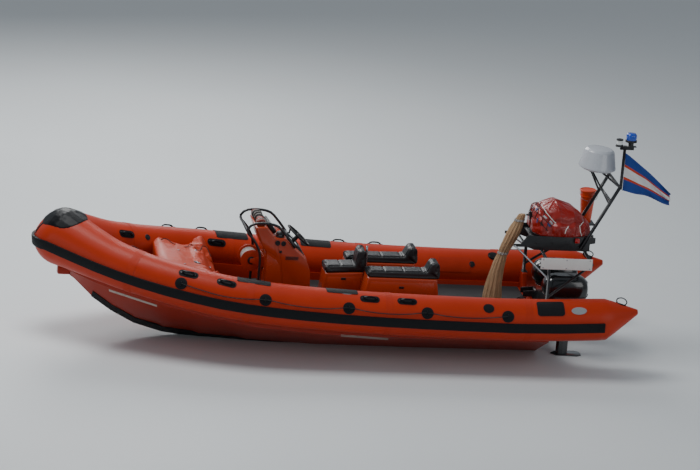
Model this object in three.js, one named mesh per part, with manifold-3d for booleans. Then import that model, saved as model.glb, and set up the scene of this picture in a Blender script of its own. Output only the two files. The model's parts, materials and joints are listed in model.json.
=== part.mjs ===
// Inshore rescue boat: a rigid inflatable with a deep V hull, an orange collar, twin outboards,
// a steering console, straddle seats and a stern frame with a righting bag and a radar mast.
// Millimetres. +X is forward, +Y is port, +Z is up. The origin is amidships on the centreline,
// at the waterline of the running boat.
import * as THREE from 'three';
import { mergeVertices } from 'three/addons/utils/BufferGeometryUtils.js';
import Module from 'manifold-3d';

const wasm = await Module();
wasm.setup();

const GAP = 0.3; // between pieces that touch
const TUBE_Z = 650; // height of the collar's centre aft, above the waterline
const DECK_Z = TUBE_Z - 130;
const TRANSOM_X = -2650;
const TRANSOM_TOP = TUBE_Z - 100;
const SEAM_X = 2500; // where the bow section of the collar begins
const DECK_THICK = 12;

// Centre of the port collar from aft to the nose: forward, to port, up from TUBE_Z, radius.
const COLLAR = [
  { x: -3300, y: 1075, z: 40, r: 260 },
  { x: -2400, y: 1075, z: 0, r: 260 },
  { x: -1400, y: 1075, z: 5, r: 260 },
  { x: -500, y: 1075, z: 25, r: 260 },
  { x: 300, y: 1075, z: 60, r: 260 },
  { x: 910, y: 1068, z: 105, r: 260 },
  { x: 1400, y: 1005, z: 150, r: 260 },
  { x: 1900, y: 860, z: 215, r: 260 },
  { x: 2400, y: 650, z: 295, r: 262 },
  { x: 2800, y: 430, z: 385, r: 275 },
  { x: 3110, y: 205, z: 480, r: 315 },
  { x: 3360, y: 0, z: 560, r: 360 },
];

// The hull's sections: station, keel and chine heights from TUBE_Z, and the chine's half-breadth.
const HULL = [
  { x: TRANSOM_X, keel: -755, chineY: 950, chineZ: -315 },
  { x: -1000, keel: -765, chineY: 965, chineZ: -315 },
  { x: 200, keel: -760, chineY: 965, chineZ: -300 },
  { x: 1000, keel: -722, chineY: 935, chineZ: -245 },
  { x: 1600, keel: -672, chineY: 840, chineZ: -165 },
  { x: 2050, keel: -610, chineY: 715, chineZ: -95 },
  { x: 2400, keel: -510, chineY: 575, chineZ: -35 },
  { x: 2700, keel: -355, chineY: 430, chineZ: 15 },
  { x: 2950, keel: -185, chineY: 280, chineZ: 65 },
  { x: 3180, keel: 30, chineY: 130, chineZ: 130 },
  { x: 3370, keel: 168, chineY: 25, chineZ: 215 },
];

const DISC_X = [1930, 970, -40, -1020, -2030];

// Points, vectors and solids

function vec(x, y, z) {
  return new THREE.Vector3(x, y, z);
}

function solid(geometry) {
  const bare = geometry.index ? geometry.toNonIndexed() : geometry.clone();
  bare.deleteAttribute('normal');
  bare.deleteAttribute('uv');
  const merged = mergeVertices(bare, 1e-3);
  const corners = merged.index.array;
  const kept = [];
  for (let i = 0; i < corners.length; i += 3) {
    const [a, b, c] = corners.slice(i, i + 3);
    if (a !== b && b !== c && c !== a) kept.push(a, b, c);
  }
  return new wasm.Manifold(new wasm.Mesh({
    numProp: 3,
    vertProperties: new Float32Array(merged.attributes.position.array),
    triVerts: new Uint32Array(kept),
  }));
}

function geometryOf(manifold) {
  const mesh = manifold.getMesh();
  const geometry = new THREE.BufferGeometry();
  const points = new Float32Array(mesh.numVert * 3);
  for (let i = 0; i < mesh.numVert; i += 1) {
    for (let j = 0; j < 3; j += 1) points[3 * i + j] = mesh.vertProperties[mesh.numProp * i + j];
  }
  geometry.setAttribute('position', new THREE.BufferAttribute(points, 3));
  geometry.setIndex(new THREE.BufferAttribute(new Uint32Array(mesh.triVerts), 1));
  return geometry;
}

function join(...geometries) {
  return geometryOf(geometries.map(solid).reduce((a, b) => a.add(b)));
}

function cut(geometry, ...tools) {
  return geometryOf(tools.map(solid).reduce((a, b) => a.subtract(b), solid(geometry)));
}

function keepInside(geometry, tool) {
  return geometryOf(solid(geometry).intersect(solid(tool)));
}

function mirrored(geometry) {
  const copy = geometry.index ? geometry.toNonIndexed() : geometry.clone();
  copy.deleteAttribute('normal');
  copy.deleteAttribute('uv');
  const p = copy.attributes.position;
  for (let i = 0; i < p.count; i += 3) {
    const [a, b, c] = [0, 1, 2].map((k) => [p.getX(i + k), -p.getY(i + k), p.getZ(i + k)]);
    [a, c, b].forEach((q, k) => p.setXYZ(i + k, ...q));
  }
  return copy;
}

// Shapes

function outline(points) {
  const shape = new THREE.Shape();
  points.forEach(([u, v], i) => (i ? shape.lineTo(u, v) : shape.moveTo(u, v)));
  shape.closePath();
  return shape;
}

// A side profile in X and Z, extruded from y0 to y1.
function sideProfile(points, y0, y1) {
  const geometry = new THREE.ExtrudeGeometry(outline(points), { depth: y1 - y0, bevelEnabled: false });
  return geometry.rotateX(Math.PI / 2).translate(0, y1, 0);
}

// A plan outline in X and Y, extruded from z0 to z1.
function planProfile(points, z0, z1) {
  const geometry = new THREE.ExtrudeGeometry(outline(points), { depth: z1 - z0, bevelEnabled: false });
  return geometry.translate(0, 0, z0);
}

// A cross-section in Y and Z, extruded from x0 to x1.
function crossProfile(points, x0, x1) {
  const geometry = new THREE.ExtrudeGeometry(outline(points), { depth: x1 - x0, bevelEnabled: false });
  return geometry.rotateX(Math.PI / 2).rotateZ(Math.PI / 2).translate(x0, 0, 0);
}

function box(x0, x1, y0, y1, z0, z1) {
  return new THREE.BoxGeometry(x1 - x0, y1 - y0, z1 - z0)
    .translate((x0 + x1) / 2, (y0 + y1) / 2, (z0 + z1) / 2);
}

// A turned shape: [radius, height] pairs from the axis to the axis, or a closed ring.
function turned(profile, sides = 20) {
  return new THREE.LatheGeometry(profile.map(([r, h]) => new THREE.Vector2(r, h)), sides)
    .rotateX(Math.PI / 2);
}

// The same shape with its axis from one point to another.
function turnedAlong(from, to, profile, sides = 20) {
  const turn = new THREE.Quaternion().setFromUnitVectors(vec(0, 0, 1),
    to.clone().sub(from).normalize());
  return turned(profile, sides).applyQuaternion(turn).translate(from.x, from.y, from.z);
}

function bar(from, to, radius, sides = 10) {
  const length = from.distanceTo(to);
  return turnedAlong(from, to, [[0, 0], [radius, 0], [radius, length], [0, length]], sides);
}

// A bent round tube through points, with its bends rounded.
function pipe(points, radius, steps = 24, sides = 10) {
  const path = new THREE.CatmullRomCurve3(points, false, 'centripetal');
  const round = new THREE.Shape().absarc(0, 0, radius, 0, 2 * Math.PI);
  return new THREE.ExtrudeGeometry(round, {
    steps, extrudePath: path, curveSegments: sides / 2, bevelEnabled: false,
  });
}

// A skin over rings of equal count, closed at both ends.
function skin(rings) {
  const count = rings[0].length;
  const points = rings.flat();
  const faces = [];
  for (let i = 0; i < rings.length - 1; i += 1) {
    for (let j = 0; j < count; j += 1) {
      const [a, b] = [i * count + j, i * count + ((j + 1) % count)];
      faces.push(a, b, b + count, a, b + count, a + count);
    }
  }
  [0, rings.length - 1].forEach((i) => {
    const ring = rings[i];
    const across = vec(0, 0, 0);
    ring.forEach((p, j) => {
      const q = ring[(j + 1) % count];
      across.add(p.clone().cross(q));
    });
    const normal = across.normalize();
    const side = Math.abs(normal.z) > 0.8 ? vec(1, 0, 0) : vec(0, 0, 1);
    const u = side.clone().cross(normal).normalize();
    const v = normal.clone().cross(u);
    const flat = ring.map((p) => new THREE.Vector2(p.dot(u), p.dot(v)));
    THREE.ShapeUtils.triangulateShape(flat, []).forEach(([a, b, c]) => {
      if (i) faces.push(i * count + a, i * count + b, i * count + c);
      else faces.push(a, c, b);
    });
  });
  const geometry = new THREE.BufferGeometry();
  geometry.setAttribute('position', new THREE.Float32BufferAttribute(points.flatMap((p) => [p.x, p.y,
    p.z]), 3));
  geometry.setIndex(faces);
  const volume = faces.reduce((sum, _, i) => {
    if (i % 3) return sum;
    const [a, b, c] = faces.slice(i, i + 3).map((k) => points[k]);
    return sum + a.dot(b.clone().cross(c));
  }, 0);
  if (volume < 0) {
    for (let i = 0; i < faces.length; i += 3) [faces[i + 1], faces[i + 2]] = [faces[i + 2],
      faces[i + 1]];
    geometry.setIndex(faces);
  }
  return geometry;
}

// The collar

const collarPath = new THREE.CatmullRomCurve3(
  COLLAR.map(({ x, y, z }) => vec(x, y, TUBE_Z + z)), false, 'centripetal');

function collarRadius(x) {
  const next = COLLAR.findIndex((c) => c.x > x);
  if (next < 1) return next === 0 ? COLLAR[0].r : COLLAR.at(-1).r;
  const [a, b] = [COLLAR[next - 1], COLLAR[next]];
  return THREE.MathUtils.lerp(a.r, b.r, (x - a.x) / (b.x - a.x));
}

// Where the path passes a station, as its parameter.
function pathAt(x) {
  let [low, high] = [0, 1];
  for (let i = 0; i < 40; i += 1) {
    const middle = (low + high) / 2;
    if (collarPath.getPoint(middle).x < x) low = middle;
    else high = middle;
  }
  return low;
}

// Centre, outward and up directions of the port collar at a path parameter.
function collarFrame(t) {
  const centre = collarPath.getPoint(t);
  const along = collarPath.getTangent(t);
  const out = vec(0, 0, 1).cross(along).normalize();
  const up = along.clone().cross(out);
  return { centre, along, out, up, r: collarRadius(centre.x) };
}

function onCollar({ centre, out, up }, angle, reach) {
  return centre.clone().addScaledVector(out, reach * Math.cos(angle))
    .addScaledVector(up, reach * Math.sin(angle));
}

const COLLAR_SIDES = 20;

function collarRing(frame, radius) {
  return Array.from({ length: COLLAR_SIDES },
    (_, j) => onCollar(frame, (2 * Math.PI * j) / COLLAR_SIDES, radius));
}

const NOSE = collarFrame(1);
const BEAK = { x: 0.72, z: 0.69, depth: 0.2, power: 5 }; // where the nose is drawn in, and how far

// Draws a point of the nose in where it faces forward and up, as the real bow is drawn to a beak.
function beaked(point) {
  const away = point.clone().sub(NOSE.centre);
  const facing = Math.max(0, (away.x * BEAK.x + away.z * BEAK.z) / away.length());
  return NOSE.centre.clone().addScaledVector(away, 1 - BEAK.depth * facing ** BEAK.power);
}

const CONE_LENGTH = 400;
const CONE_RISE = 90;
const CONE_TIP_R = 30;

function sideCollar(grow = 0) {
  const seam = pathAt(SEAM_X);
  const aft = collarFrame(0);
  const tip = { ...aft, centre: aft.centre.clone().addScaledVector(aft.along, -CONE_LENGTH)
    .add(vec(0, 0, CONE_RISE)) };
  const rings = [collarRing(tip, CONE_TIP_R + grow)];
  const steps = 16;
  for (let i = 0; i <= steps; i += 1) {
    const frame = collarFrame((seam * i) / steps);
    rings.push(collarRing(frame, frame.r + grow));
  }
  return skin(rings);
}

const NOSE_LIFTS = [20, 40, 58, 75, 88]; // degrees round the nose from the last section

function bowHalf(grow = 0) {
  const seam = pathAt(SEAM_X);
  const steps = 8;
  const rings = [];
  for (let i = 0; i <= steps; i += 1) {
    const frame = collarFrame(seam + ((1 - seam) * i) / steps);
    if (i === 0) frame.centre.addScaledVector(frame.along, GAP - grow);
    rings.push(collarRing(frame, frame.r + grow));
  }
  NOSE_LIFTS.forEach((degrees) => {
    const lift = THREE.MathUtils.degToRad(degrees);
    const centre = NOSE.centre.clone().addScaledVector(NOSE.along, (NOSE.r + grow) * Math.sin(lift));
    rings.push(collarRing({ ...NOSE, centre }, (NOSE.r + grow) * Math.cos(lift)));
  });
  return skin(rings.map((ring, i) => (i < steps ? ring : ring.map(beaked))));
}

const collarPort = sideCollar();
const collarBow = join(bowHalf(), mirrored(bowHalf()));
const grown = sideCollar(GAP);
const collarSpace = join(grown, mirrored(grown), bowHalf(GAP), mirrored(bowHalf(GAP)));

// Hull, deck and transom

const FLANGE = { in: 285, low: 80, foot: 300 }; // the hull's edge where it holds the collar
const CHINE_RAIL = 50;

function tubeAt(x) {
  const frame = collarFrame(pathAt(Math.min(x, 3300)));
  return { y: frame.centre.y, z: frame.centre.z };
}

function hullRing({ x, keel, chineY, chineZ }) {
  const tube = tubeAt(x);
  const rise = Math.max(0, (x - 2500) / 900) * 420;
  const deck = Math.max(DECK_Z, DECK_Z + rise);
  const half = [
    [chineY, TUBE_Z + chineZ],
    [chineY, TUBE_Z + chineZ + CHINE_RAIL],
    [Math.max(tube.y - 60, chineY - 30, 16), tube.z - 190],
    [Math.max(tube.y - 215, 12), tube.z - FLANGE.low],
    [Math.max(tube.y - FLANGE.in, 8), tube.z - FLANGE.low],
    [Math.max(tube.y - FLANGE.foot, 4), Math.min(deck, tube.z - FLANGE.low - 10)],
  ];
  const keelPoint = [[0, TUBE_Z + keel]];
  const far = half.map(([y, z]) => [-y, z]).reverse();
  return [...keelPoint, ...half, ...far].map(([y, z]) => vec(x, y, z));
}

const hullWhole = skin(HULL.map(hullRing));
const hull = cut(hullWhole, collarSpace);
const hullSpace = skin(HULL.map((row) => hullRing(row)
  .map((p) => vec(p.x, p.y - Math.sign(p.y) * GAP, p.z + GAP))));

// Half-breadth of the well between the flanges, straight from one hull section to the next.
function wellHalf(x) {
  const next = Math.max(1, HULL.findIndex((row) => row.x >= x));
  const [a, b] = [HULL[next - 1], HULL[next]];
  const share = (x - a.x) / (b.x - a.x);
  return THREE.MathUtils.lerp(tubeAt(a.x).y, tubeAt(b.x).y, share) - FLANGE.foot;
}

const deckOutline = [-2560, -1000, 200, 1000, 1600, 2050, 2350].map((x) => [x, wellHalf(x) - 8]);
const deck = planProfile(
  [...deckOutline, ...deckOutline.map(([x, y]) => [x, -y]).reverse()], DECK_Z + GAP,
    DECK_Z + GAP + DECK_THICK);
const SOLE = DECK_Z + GAP + DECK_THICK; // what stands on the deck stands here

const TRANSOM_THICK = 60;
const FLANGE_TOP = tubeAt(TRANSOM_X).z - FLANGE.low + GAP;
const transomHalf = [
  [600, TRANSOM_TOP], [660, TUBE_Z + 90], [812, TUBE_Z + 90], [812, FLANGE_TOP], [768, FLANGE_TOP],
    [768, DECK_Z + GAP],
];
const transom = cut(
  crossProfile([...transomHalf, ...transomHalf.map(([y, z]) => [-y, z]).reverse()], TRANSOM_X,
    TRANSOM_X + TRANSOM_THICK),
  collarSpace);

// The hull's black keel guard, the collar's strake and the bow cap

const KEEL_GUARD_TALL = 95;
const KEEL_GUARD_THICK = 8;

function keelGuard() {
  const rows = HULL.filter(({ x }) => x <= 2950);
  const rings = rows.map(({ x, keel, chineY, chineZ }) => {
    const slope = (chineZ - keel) / chineY;
    const up = KEEL_GUARD_TALL / Math.max(slope, 0.45);
    const drop = KEEL_GUARD_THICK * Math.hypot(1, slope);
    const z = TUBE_Z + keel;
    return [[0, z - drop], [up, z + up * slope - drop], [up, z + up * slope + 20],
      [-up, z + up * slope + 20], [-up, z + up * slope - drop]]
      .map(([y, height]) => vec(x, y, height));
  });
  const around = skin(HULL.map((row) => hullRing(row)
    .map((p) => vec(p.x, p.y * 1.0005, p.z + (p.z < DECK_Z ? -GAP : 0)))));
  return cut(skin(rings), around);
}

const STRAKE = { angle: THREE.MathUtils.degToRad(-7), tall: 118, thick: 20, aftX: -3250 };

function strakeRing(centre, out, up, r) {
  const middle = centre.clone().addScaledVector(out, r * Math.cos(STRAKE.angle))
    .addScaledVector(up, r * Math.sin(STRAKE.angle));
  const face = out.clone().multiplyScalar(Math.cos(STRAKE.angle))
    .addScaledVector(up, Math.sin(STRAKE.angle));
  const rise = up.clone().multiplyScalar(Math.cos(STRAKE.angle))
    .addScaledVector(out, -Math.sin(STRAKE.angle));
  const corners = [[-16, -0.5], [STRAKE.thick - 6, -0.5], [STRAKE.thick, -0.3], [STRAKE.thick, 0.3],
    [STRAKE.thick - 6, 0.5], [-16, 0.5]];
  return corners.map(([d, h]) => middle.clone().addScaledVector(face, d)
    .addScaledVector(rise, h * STRAKE.tall));
}

function strake() {
  const port = [];
  const steps = 18;
  const start = pathAt(STRAKE.aftX);
  for (let i = 0; i <= steps; i += 1) {
    const f = collarFrame(start + ((1 - start) * i) / steps);
    port.push({ centre: f.centre, out: f.out, up: f.up, r: f.r });
  }
  const turn = Math.atan2(NOSE.out.y, NOSE.out.x);
  const around = [0.72, 0.44, 0.2].map((share) => ({
    centre: NOSE.centre, out: vec(Math.cos(turn * share), Math.sin(turn * share), 0), up: vec(0, 0, 1),
      r: NOSE.r,
  }));
  const half = [...port, ...around];
  const flip = ({ centre, out, up, r }) => ({
    centre: vec(centre.x, -centre.y, centre.z), out: vec(out.x, -out.y, out.z),
      up: vec(up.x, -up.y, up.z), r,
  });
  const front = { centre: NOSE.centre, out: vec(1, 0, 0), up: vec(0, 0, 1), r: NOSE.r };
  const all = [...half, front, ...half.map(flip).reverse()];
  return cut(skin(all.map(({ centre, out, up, r }) => strakeRing(centre, out, up, r))), collarSpace);
}

// The black cap: what lies inside an oval seen from above, and a tongue down to the strake.
const CAP = { thick: 8, x: 3335, length: 560, breadth: 640, low: 640, tongue: 32, tongueLow: 590,
  tongueX: 3560 };

function bowCap() {
  const grown = bowHalf(CAP.thick);
  const oval = new THREE.CylinderGeometry(1, 1, 600, 32).rotateX(Math.PI / 2)
    .scale(CAP.length / 2, CAP.breadth / 2, 1)
    .translate(CAP.x, 0, TUBE_Z + CAP.low + 300);
  const tongue = box(CAP.tongueX, NOSE.centre.x + 500, -CAP.tongue, CAP.tongue,
    TUBE_Z + CAP.tongueLow, TUBE_Z + CAP.low + 300);
  return cut(keepInside(join(grown, mirrored(grown)), join(oval, tongue)), collarSpace);
}

// Grab line with its discs

const LINE_ANGLE = THREE.MathUtils.degToRad(24);
const LINE_R = 6;
const DISC = { r: 75, thick: 12 };

function lifeline() {
  const frames = DISC_X.map((x) => collarFrame(pathAt(x)));
  const discs = frames.map((f) => {
    const from = onCollar(f, LINE_ANGLE, f.r - 20);
    const to = onCollar(f, LINE_ANGLE, f.r + DISC.thick);
    return cut(bar(from, to, DISC.r, 14), collarSpace);
  });
  const reach = (x) => {
    const f = collarFrame(pathAt(x));
    return onCollar(f, LINE_ANGLE, f.r + DISC.thick + LINE_R - 2);
  };
  const stations = [];
  DISC_X.forEach((x, i) => {
    stations.push(x);
    if (i < DISC_X.length - 1) stations.push((x + DISC_X[i + 1]) / 2);
  });
  const line = pipe(stations.map(reach), LINE_R, 16, 6);
  return join(line, ...discs);
}

// Bow cover: soft, laced up to the tubes' inner sides and lower over the gear between them.
// Height of its sides and of its middle above TUBE_Z at each station.
const BOW_COVER = [
  { x: 1350, half: 780, side: -20, middle: -30 },
  { x: 1430, half: 780, side: 300, middle: 120 },
  { x: 1520, half: 780, side: 420, middle: 230 },
  { x: 1700, half: 740, side: 330, middle: 270 },
  { x: 1880, half: 700, side: 350, middle: 330 },
  { x: 2080, half: 640, side: 450, middle: 360 },
  { x: 2150, half: 600, side: 420, middle: 340 },
];
const COVER_SHARES = [1, 0.8, 0.55, 0.25, 0]; // of the half-breadth, where the top has its points

function bowCover() {
  const rings = BOW_COVER.map(({ x, half, side, middle }) => {
    const top = COVER_SHARES.map((share) => [half * share,
      TUBE_Z + middle + (side - middle) * share ** 2]);
    const far = top.slice(0, -1).map(([y, z]) => [-y, z]).reverse();
    return [[-half, SOLE + GAP], [half, SOLE + GAP], ...top, ...far].map(([y, z]) => vec(x, y, z));
  });
  return cut(skin(rings), collarSpace, hullSpace);
}

// Console

const CONSOLE_HALF = 300;
const RAIL_R = 16.5;

const consoleOutline = [
  [860, SOLE + GAP], [860, TUBE_Z + 530], [936, TUBE_Z + 640], [1010, TUBE_Z + 840],
    [870, TUBE_Z + 850], [750, TUBE_Z + 710],
  [630, TUBE_Z + 710], [360, TUBE_Z + 480], [290, TUBE_Z + 300], [270, SOLE + GAP],
];
const consoleBody = sideProfile(consoleOutline, -CONSOLE_HALF, CONSOLE_HALF);

function consoleRail() {
  const y = CONSOLE_HALF + RAIL_R + GAP;
  const side = (s) => pipe([
    [935, SOLE + GAP], [935, TUBE_Z + 300], [944, TUBE_Z + 520], [1030, TUBE_Z + 690],
      [1120, TUBE_Z + 800],
    [1053, TUBE_Z + 886], [760, TUBE_Z + 880], [640, TUBE_Z + 770], [510, TUBE_Z + 605],
  ].map(([x, z]) => vec(x, s * y, z)), RAIL_R, 30, 8);
  return join(side(1), side(-1), bar(vec(1116, -y, TUBE_Z + 797), vec(1116, y, TUBE_Z + 797), RAIL_R));
}

// It lies on the upper slope, its screen facing aft.
const instrumentHood = sideProfile(
  [[760, TUBE_Z + 722], [867.7, TUBE_Z + 848], [829.8, TUBE_Z + 880.5], [721.8, TUBE_Z + 754.6]],
  -150, 150);

const ROLLED_COVER_HALF = 250;
const rolledCover = sideProfile(
  [[905, TUBE_Z + 848 + GAP], [975, TUBE_Z + 843 + GAP], [1000, TUBE_Z + 862], [1006, TUBE_Z + 890],
    [992, TUBE_Z + 918], [960, TUBE_Z + 934], [925, TUBE_Z + 934], [895, TUBE_Z + 918],
    [880, TUBE_Z + 890], [884, TUBE_Z + 866]],
  -ROLLED_COVER_HALF, ROLLED_COVER_HALF);

// A point on the dash slope and its normal.
const DASH = { x: 495, z: TUBE_Z + 595, nx: -0.648, nz: 0.761 };
const WHEEL = { y: 0, out: 110, r: 170, rim: 13 };

function dashPoint(out, y = WHEEL.y) {
  return vec(DASH.x + DASH.nx * out, y, DASH.z + DASH.nz * out);
}

const SPINDLE_R = 10;
const steeringColumn = join(
  bar(dashPoint(GAP), dashPoint(WHEEL.out - 35), 26, 14),
  bar(dashPoint(10), dashPoint(WHEEL.out + 10), SPINDLE_R, 12));

function steeringWheel() {
  const [from, to] = [dashPoint(WHEEL.out - 30), dashPoint(WHEEL.out + 25)];
  const rim = [];
  const sides = 8;
  for (let i = 0; i <= sides; i += 1) {
    const a = (2 * Math.PI * i) / sides;
    rim.push([WHEEL.r + WHEEL.rim * Math.cos(a), 30 + WHEEL.rim * Math.sin(a)]);
  }
  const ring = turnedAlong(from, to, rim, 32);
  const hub = turnedAlong(from, to, [[0, 0], [34, 0], [34, 30], [20, 50], [0, 50]], 16);
  const centre = dashPoint(WHEEL.out);
  const across = vec(0, 1, 0);
  const rise = vec(-DASH.nz, 0, DASH.nx).multiplyScalar(-1);
  const spokes = [90, 210, 330].map((degrees) => {
    const a = THREE.MathUtils.degToRad(degrees);
    const end = centre.clone().addScaledVector(across, WHEEL.r * Math.cos(a))
      .addScaledVector(rise, WHEEL.r * Math.sin(a));
    return bar(centre, end, 9, 8);
  });
  return cut(join(ring, hub, ...spokes), bar(dashPoint(0), dashPoint(WHEEL.out + 11), SPINDLE_R + 0.5,
    12));
}

const THROTTLE = { deep: 60, low: TUBE_Z + 430, top: TUBE_Z + 560, leverR: 9 };

function throttleBox() {
  const face = -CONSOLE_HALF - GAP;
  const lever = (out) => bar(
    vec(500, face - out, THROTTLE.top - 10), vec(470, face - out, THROTTLE.top + 120),
    THROTTLE.leverR, 8);
  return join(
    box(430, 560, face - THROTTLE.deep, face, THROTTLE.low, THROTTLE.top), lever(45), lever(20));
}

// Rope reel ahead of the console

const REEL = { x: 1010, z: TUBE_Z + 370, r: 135, half: 130, axle: 12, hub: 55, rope: 105 };

function spun(profile, sides = 28) {
  return turned(profile, sides).rotateX(-Math.PI / 2).translate(REEL.x, 0, REEL.z);
}

const reelDrum = spun([
  [REEL.axle + 0.6, -REEL.half], [REEL.r, -REEL.half], [REEL.r, -REEL.half + 12],
    [REEL.hub, -REEL.half + 12],
  [REEL.hub, REEL.half - 12], [REEL.r, REEL.half - 12], [REEL.r, REEL.half],
    [REEL.axle + 0.6, REEL.half],
  [REEL.axle + 0.6, -REEL.half],
]);
const reelLine = spun([
  [REEL.hub + GAP, -REEL.half + 12 + GAP], [REEL.rope, -REEL.half + 12 + GAP],
    [REEL.rope, REEL.half - 12 - GAP],
  [REEL.hub + GAP, REEL.half - 12 - GAP], [REEL.hub + GAP, -REEL.half + 12 + GAP],
]);

function reelBracket() {
  const arm = (y0, y1) => sideProfile([
    [860 + GAP, REEL.z - 70], [900, REEL.z - 70], [REEL.x + 20, REEL.z - 22],
      [REEL.x + 20, REEL.z + 22], [900, REEL.z + 60],
    [860 + GAP, REEL.z + 60],
  ], y0, y1);
  const back = box(860 + GAP, 866, -REEL.half - 16, REEL.half + 16, REEL.z - 70, REEL.z + 60);
  return join(
    arm(REEL.half + 8, REEL.half + 16), arm(-REEL.half - 16, -REEL.half - 8), back,
    bar(vec(REEL.x, -REEL.half - 16, REEL.z), vec(REEL.x, REEL.half + 16, REEL.z), REEL.axle, 16));
}

// Seats

const helmPod = sideProfile(
  [[110, SOLE + GAP], [70, TUBE_Z + 250], [-400, TUBE_Z + 270], [-430, SOLE + GAP]], -165, 165);
const helmCushion = sideProfile(
  [[75, TUBE_Z + 250 + GAP], [85, TUBE_Z + 330], [-300, TUBE_Z + 345], [-340, TUBE_Z + 540],
    [-420, TUBE_Z + 550], [-425, TUBE_Z + 271 + GAP]],
  -160, 160);

const CREW = { y: 325, half: 145, front: -380, length: 900, shift: 170 };

function crewPod(y, dx) {
  return sideProfile([
    [CREW.front + dx + 40, SOLE + GAP], [CREW.front + dx - 30, TUBE_Z + 300],
      [CREW.front + dx - CREW.length, TUBE_Z + 300],
    [CREW.front + dx - CREW.length - 60, SOLE + GAP],
  ], y - CREW.half, y + CREW.half);
}

function crewCushion(y, dx) {
  const front = CREW.front + dx;
  return sideProfile([
    [front - 25, TUBE_Z + 300 + GAP], [front - 20, TUBE_Z + 370],
      [front - CREW.length + 130, TUBE_Z + 380],
    [front - CREW.length + 70, TUBE_Z + 500], [front - CREW.length - 10, TUBE_Z + 510],
      [front - CREW.length - 30, TUBE_Z + 300 + GAP],
  ], y - CREW.half + 5, y + CREW.half - 5);
}

const grabBar = pipe([
  [-462, SOLE + GAP], [-460, TUBE_Z + 200], [-452, TUBE_Z + 420], [-450, TUBE_Z + 570],
].map(([x, z]) => vec(x, 0, z)), 14, 12, 8);

// Stern frame

const FRAME_R = 21;
const TRAY = { y: 300, plate: 14, x0: -3200, x1: -2410, low: TUBE_Z + 680, top: TUBE_Z + 860,
  floor: TUBE_Z + 800 };
const HOOP_X = -2620;
const RAIL = { y: 655, z: TUBE_Z + 610, aft: -3170 };

function gantry() {
  const parts = [];
  [1, -1].forEach((s) => {
    const at = (x, y, z) => vec(x, s * y, z);
    const shoulder = at(HOOP_X, RAIL.y, RAIL.z);
    parts.push(bar(at(HOOP_X, 745, TUBE_Z + 95), at(HOOP_X, 735, TUBE_Z + 490), FRAME_R, 10));
    parts.push(bar(at(HOOP_X, 736, TUBE_Z + 478), shoulder, FRAME_R, 10));
    parts.push(bar(shoulder, at(RAIL.aft, RAIL.y, RAIL.z), FRAME_R, 10));
    [HOOP_X, RAIL.aft].forEach((x) => parts.push(bar(at(x, RAIL.y, RAIL.z),
      at(x, 0, TRAY.low - FRAME_R - GAP), FRAME_R, 10)));
    parts.push(bar(at(RAIL.aft, RAIL.y - FRAME_R, RAIL.z - 8), at(HOOP_X, 742, TUBE_Z + 200),
      FRAME_R * 0.8, 10));
    parts.push(box(HOOP_X - 45, HOOP_X + 29, s > 0 ? 700 : -795, s > 0 ? 795 : -700, TUBE_Z + 90 + GAP,
      TUBE_Z + 100));
  });
  [-3100, -2720].forEach((x) => parts.push(box(x - 15, x + 15, RAIL.y, 715, RAIL.z - 10, RAIL.z + 10)));
  return join(...parts);
}

function bagTray() {
  const side = (y0, y1) => sideProfile([
    [-2235, TUBE_Z + 745], [-2320, TUBE_Z + 748], [TRAY.x1, TRAY.top], [TRAY.x0, TRAY.top],
      [TRAY.x0, TRAY.low], [-2500, TRAY.low],
    [-2400, TUBE_Z + 712], [-2235, TUBE_Z + 712],
  ], y0, y1);
  return join(
    side(TRAY.y - TRAY.plate, TRAY.y), side(-TRAY.y, -TRAY.y + TRAY.plate),
    box(TRAY.x0, TRAY.x1 - 60, -TRAY.y + 5, TRAY.y - 5, TRAY.floor, TRAY.floor + 10),
    box(-2395, -2375, -TRAY.y + 5, TRAY.y - 5, TUBE_Z + 730, TUBE_Z + 750),
    sideProfile([[-2560, TRAY.floor + 5], [-2470, TUBE_Z + 980], [-2450, TUBE_Z + 1085],
      [-2480, TUBE_Z + 1095], [-2520, TUBE_Z + 1000], [-2600, TRAY.floor + 5]], -20, 20),
    box(-2470, -2420 - GAP, -10, 10, TUBE_Z + 1035, TUBE_Z + 1053));
}

// The righting bag: flat where it lies on the tray, domed above.
const BAG = [
  { x: -2490, half: 200, top: 1080 },
  { x: -2560, half: 322, top: 1180 },
  { x: -2760, half: 345, top: 1275 },
  { x: -2980, half: 345, top: 1190 },
  { x: -3115, half: 290, top: 1080 },
  { x: -3200, half: 250, top: 960 },
];
const BAG_LOW = TRAY.top + GAP;

const rightingBag = (() => {
  const arc = 12;
  const dome = skin(BAG.map(({ x, half, top }) => {
    const ring = [[-half + 18, BAG_LOW], [half - 18, BAG_LOW]];
    for (let i = 0; i <= arc; i += 1) {
      const a = (Math.PI * i) / arc;
      const across = Math.sign(Math.cos(a)) * Math.abs(Math.cos(a)) ** 0.7;
      const low = BAG_LOW + 15;
      ring.push([half * across, low + (TUBE_Z + top - low) * Math.sin(a) ** 0.8]);
    }
    return ring.map(([y, z]) => vec(x, y, z));
  }));
  const hook = box(-2640, -2380, -20 - GAP, 20 + GAP, TRAY.floor, TUBE_Z + 1095);
  return cut(dome, hook);
})();

const STRUT_R = 12;

function strut(s) {
  const from = vec(-2250, s * (TRAY.y + 9.4), TUBE_Z + 728);
  const hoop = vec(HOOP_X, s * 736, TUBE_Z + 430);
  const toHoop = hoop.clone().sub(from).normalize();
  return bar(from, hoop.addScaledVector(toHoop, -30.4), STRUT_R, 10);
}

const SIGN = { y: 715, thick: 6, x0: -3160, x1: -2510, low: TUBE_Z + 555, top: TUBE_Z + 700 };
const signPlate = box(SIGN.x0, SIGN.x1, SIGN.y + GAP, SIGN.y + GAP + SIGN.thick, SIGN.low, SIGN.top);

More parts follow.
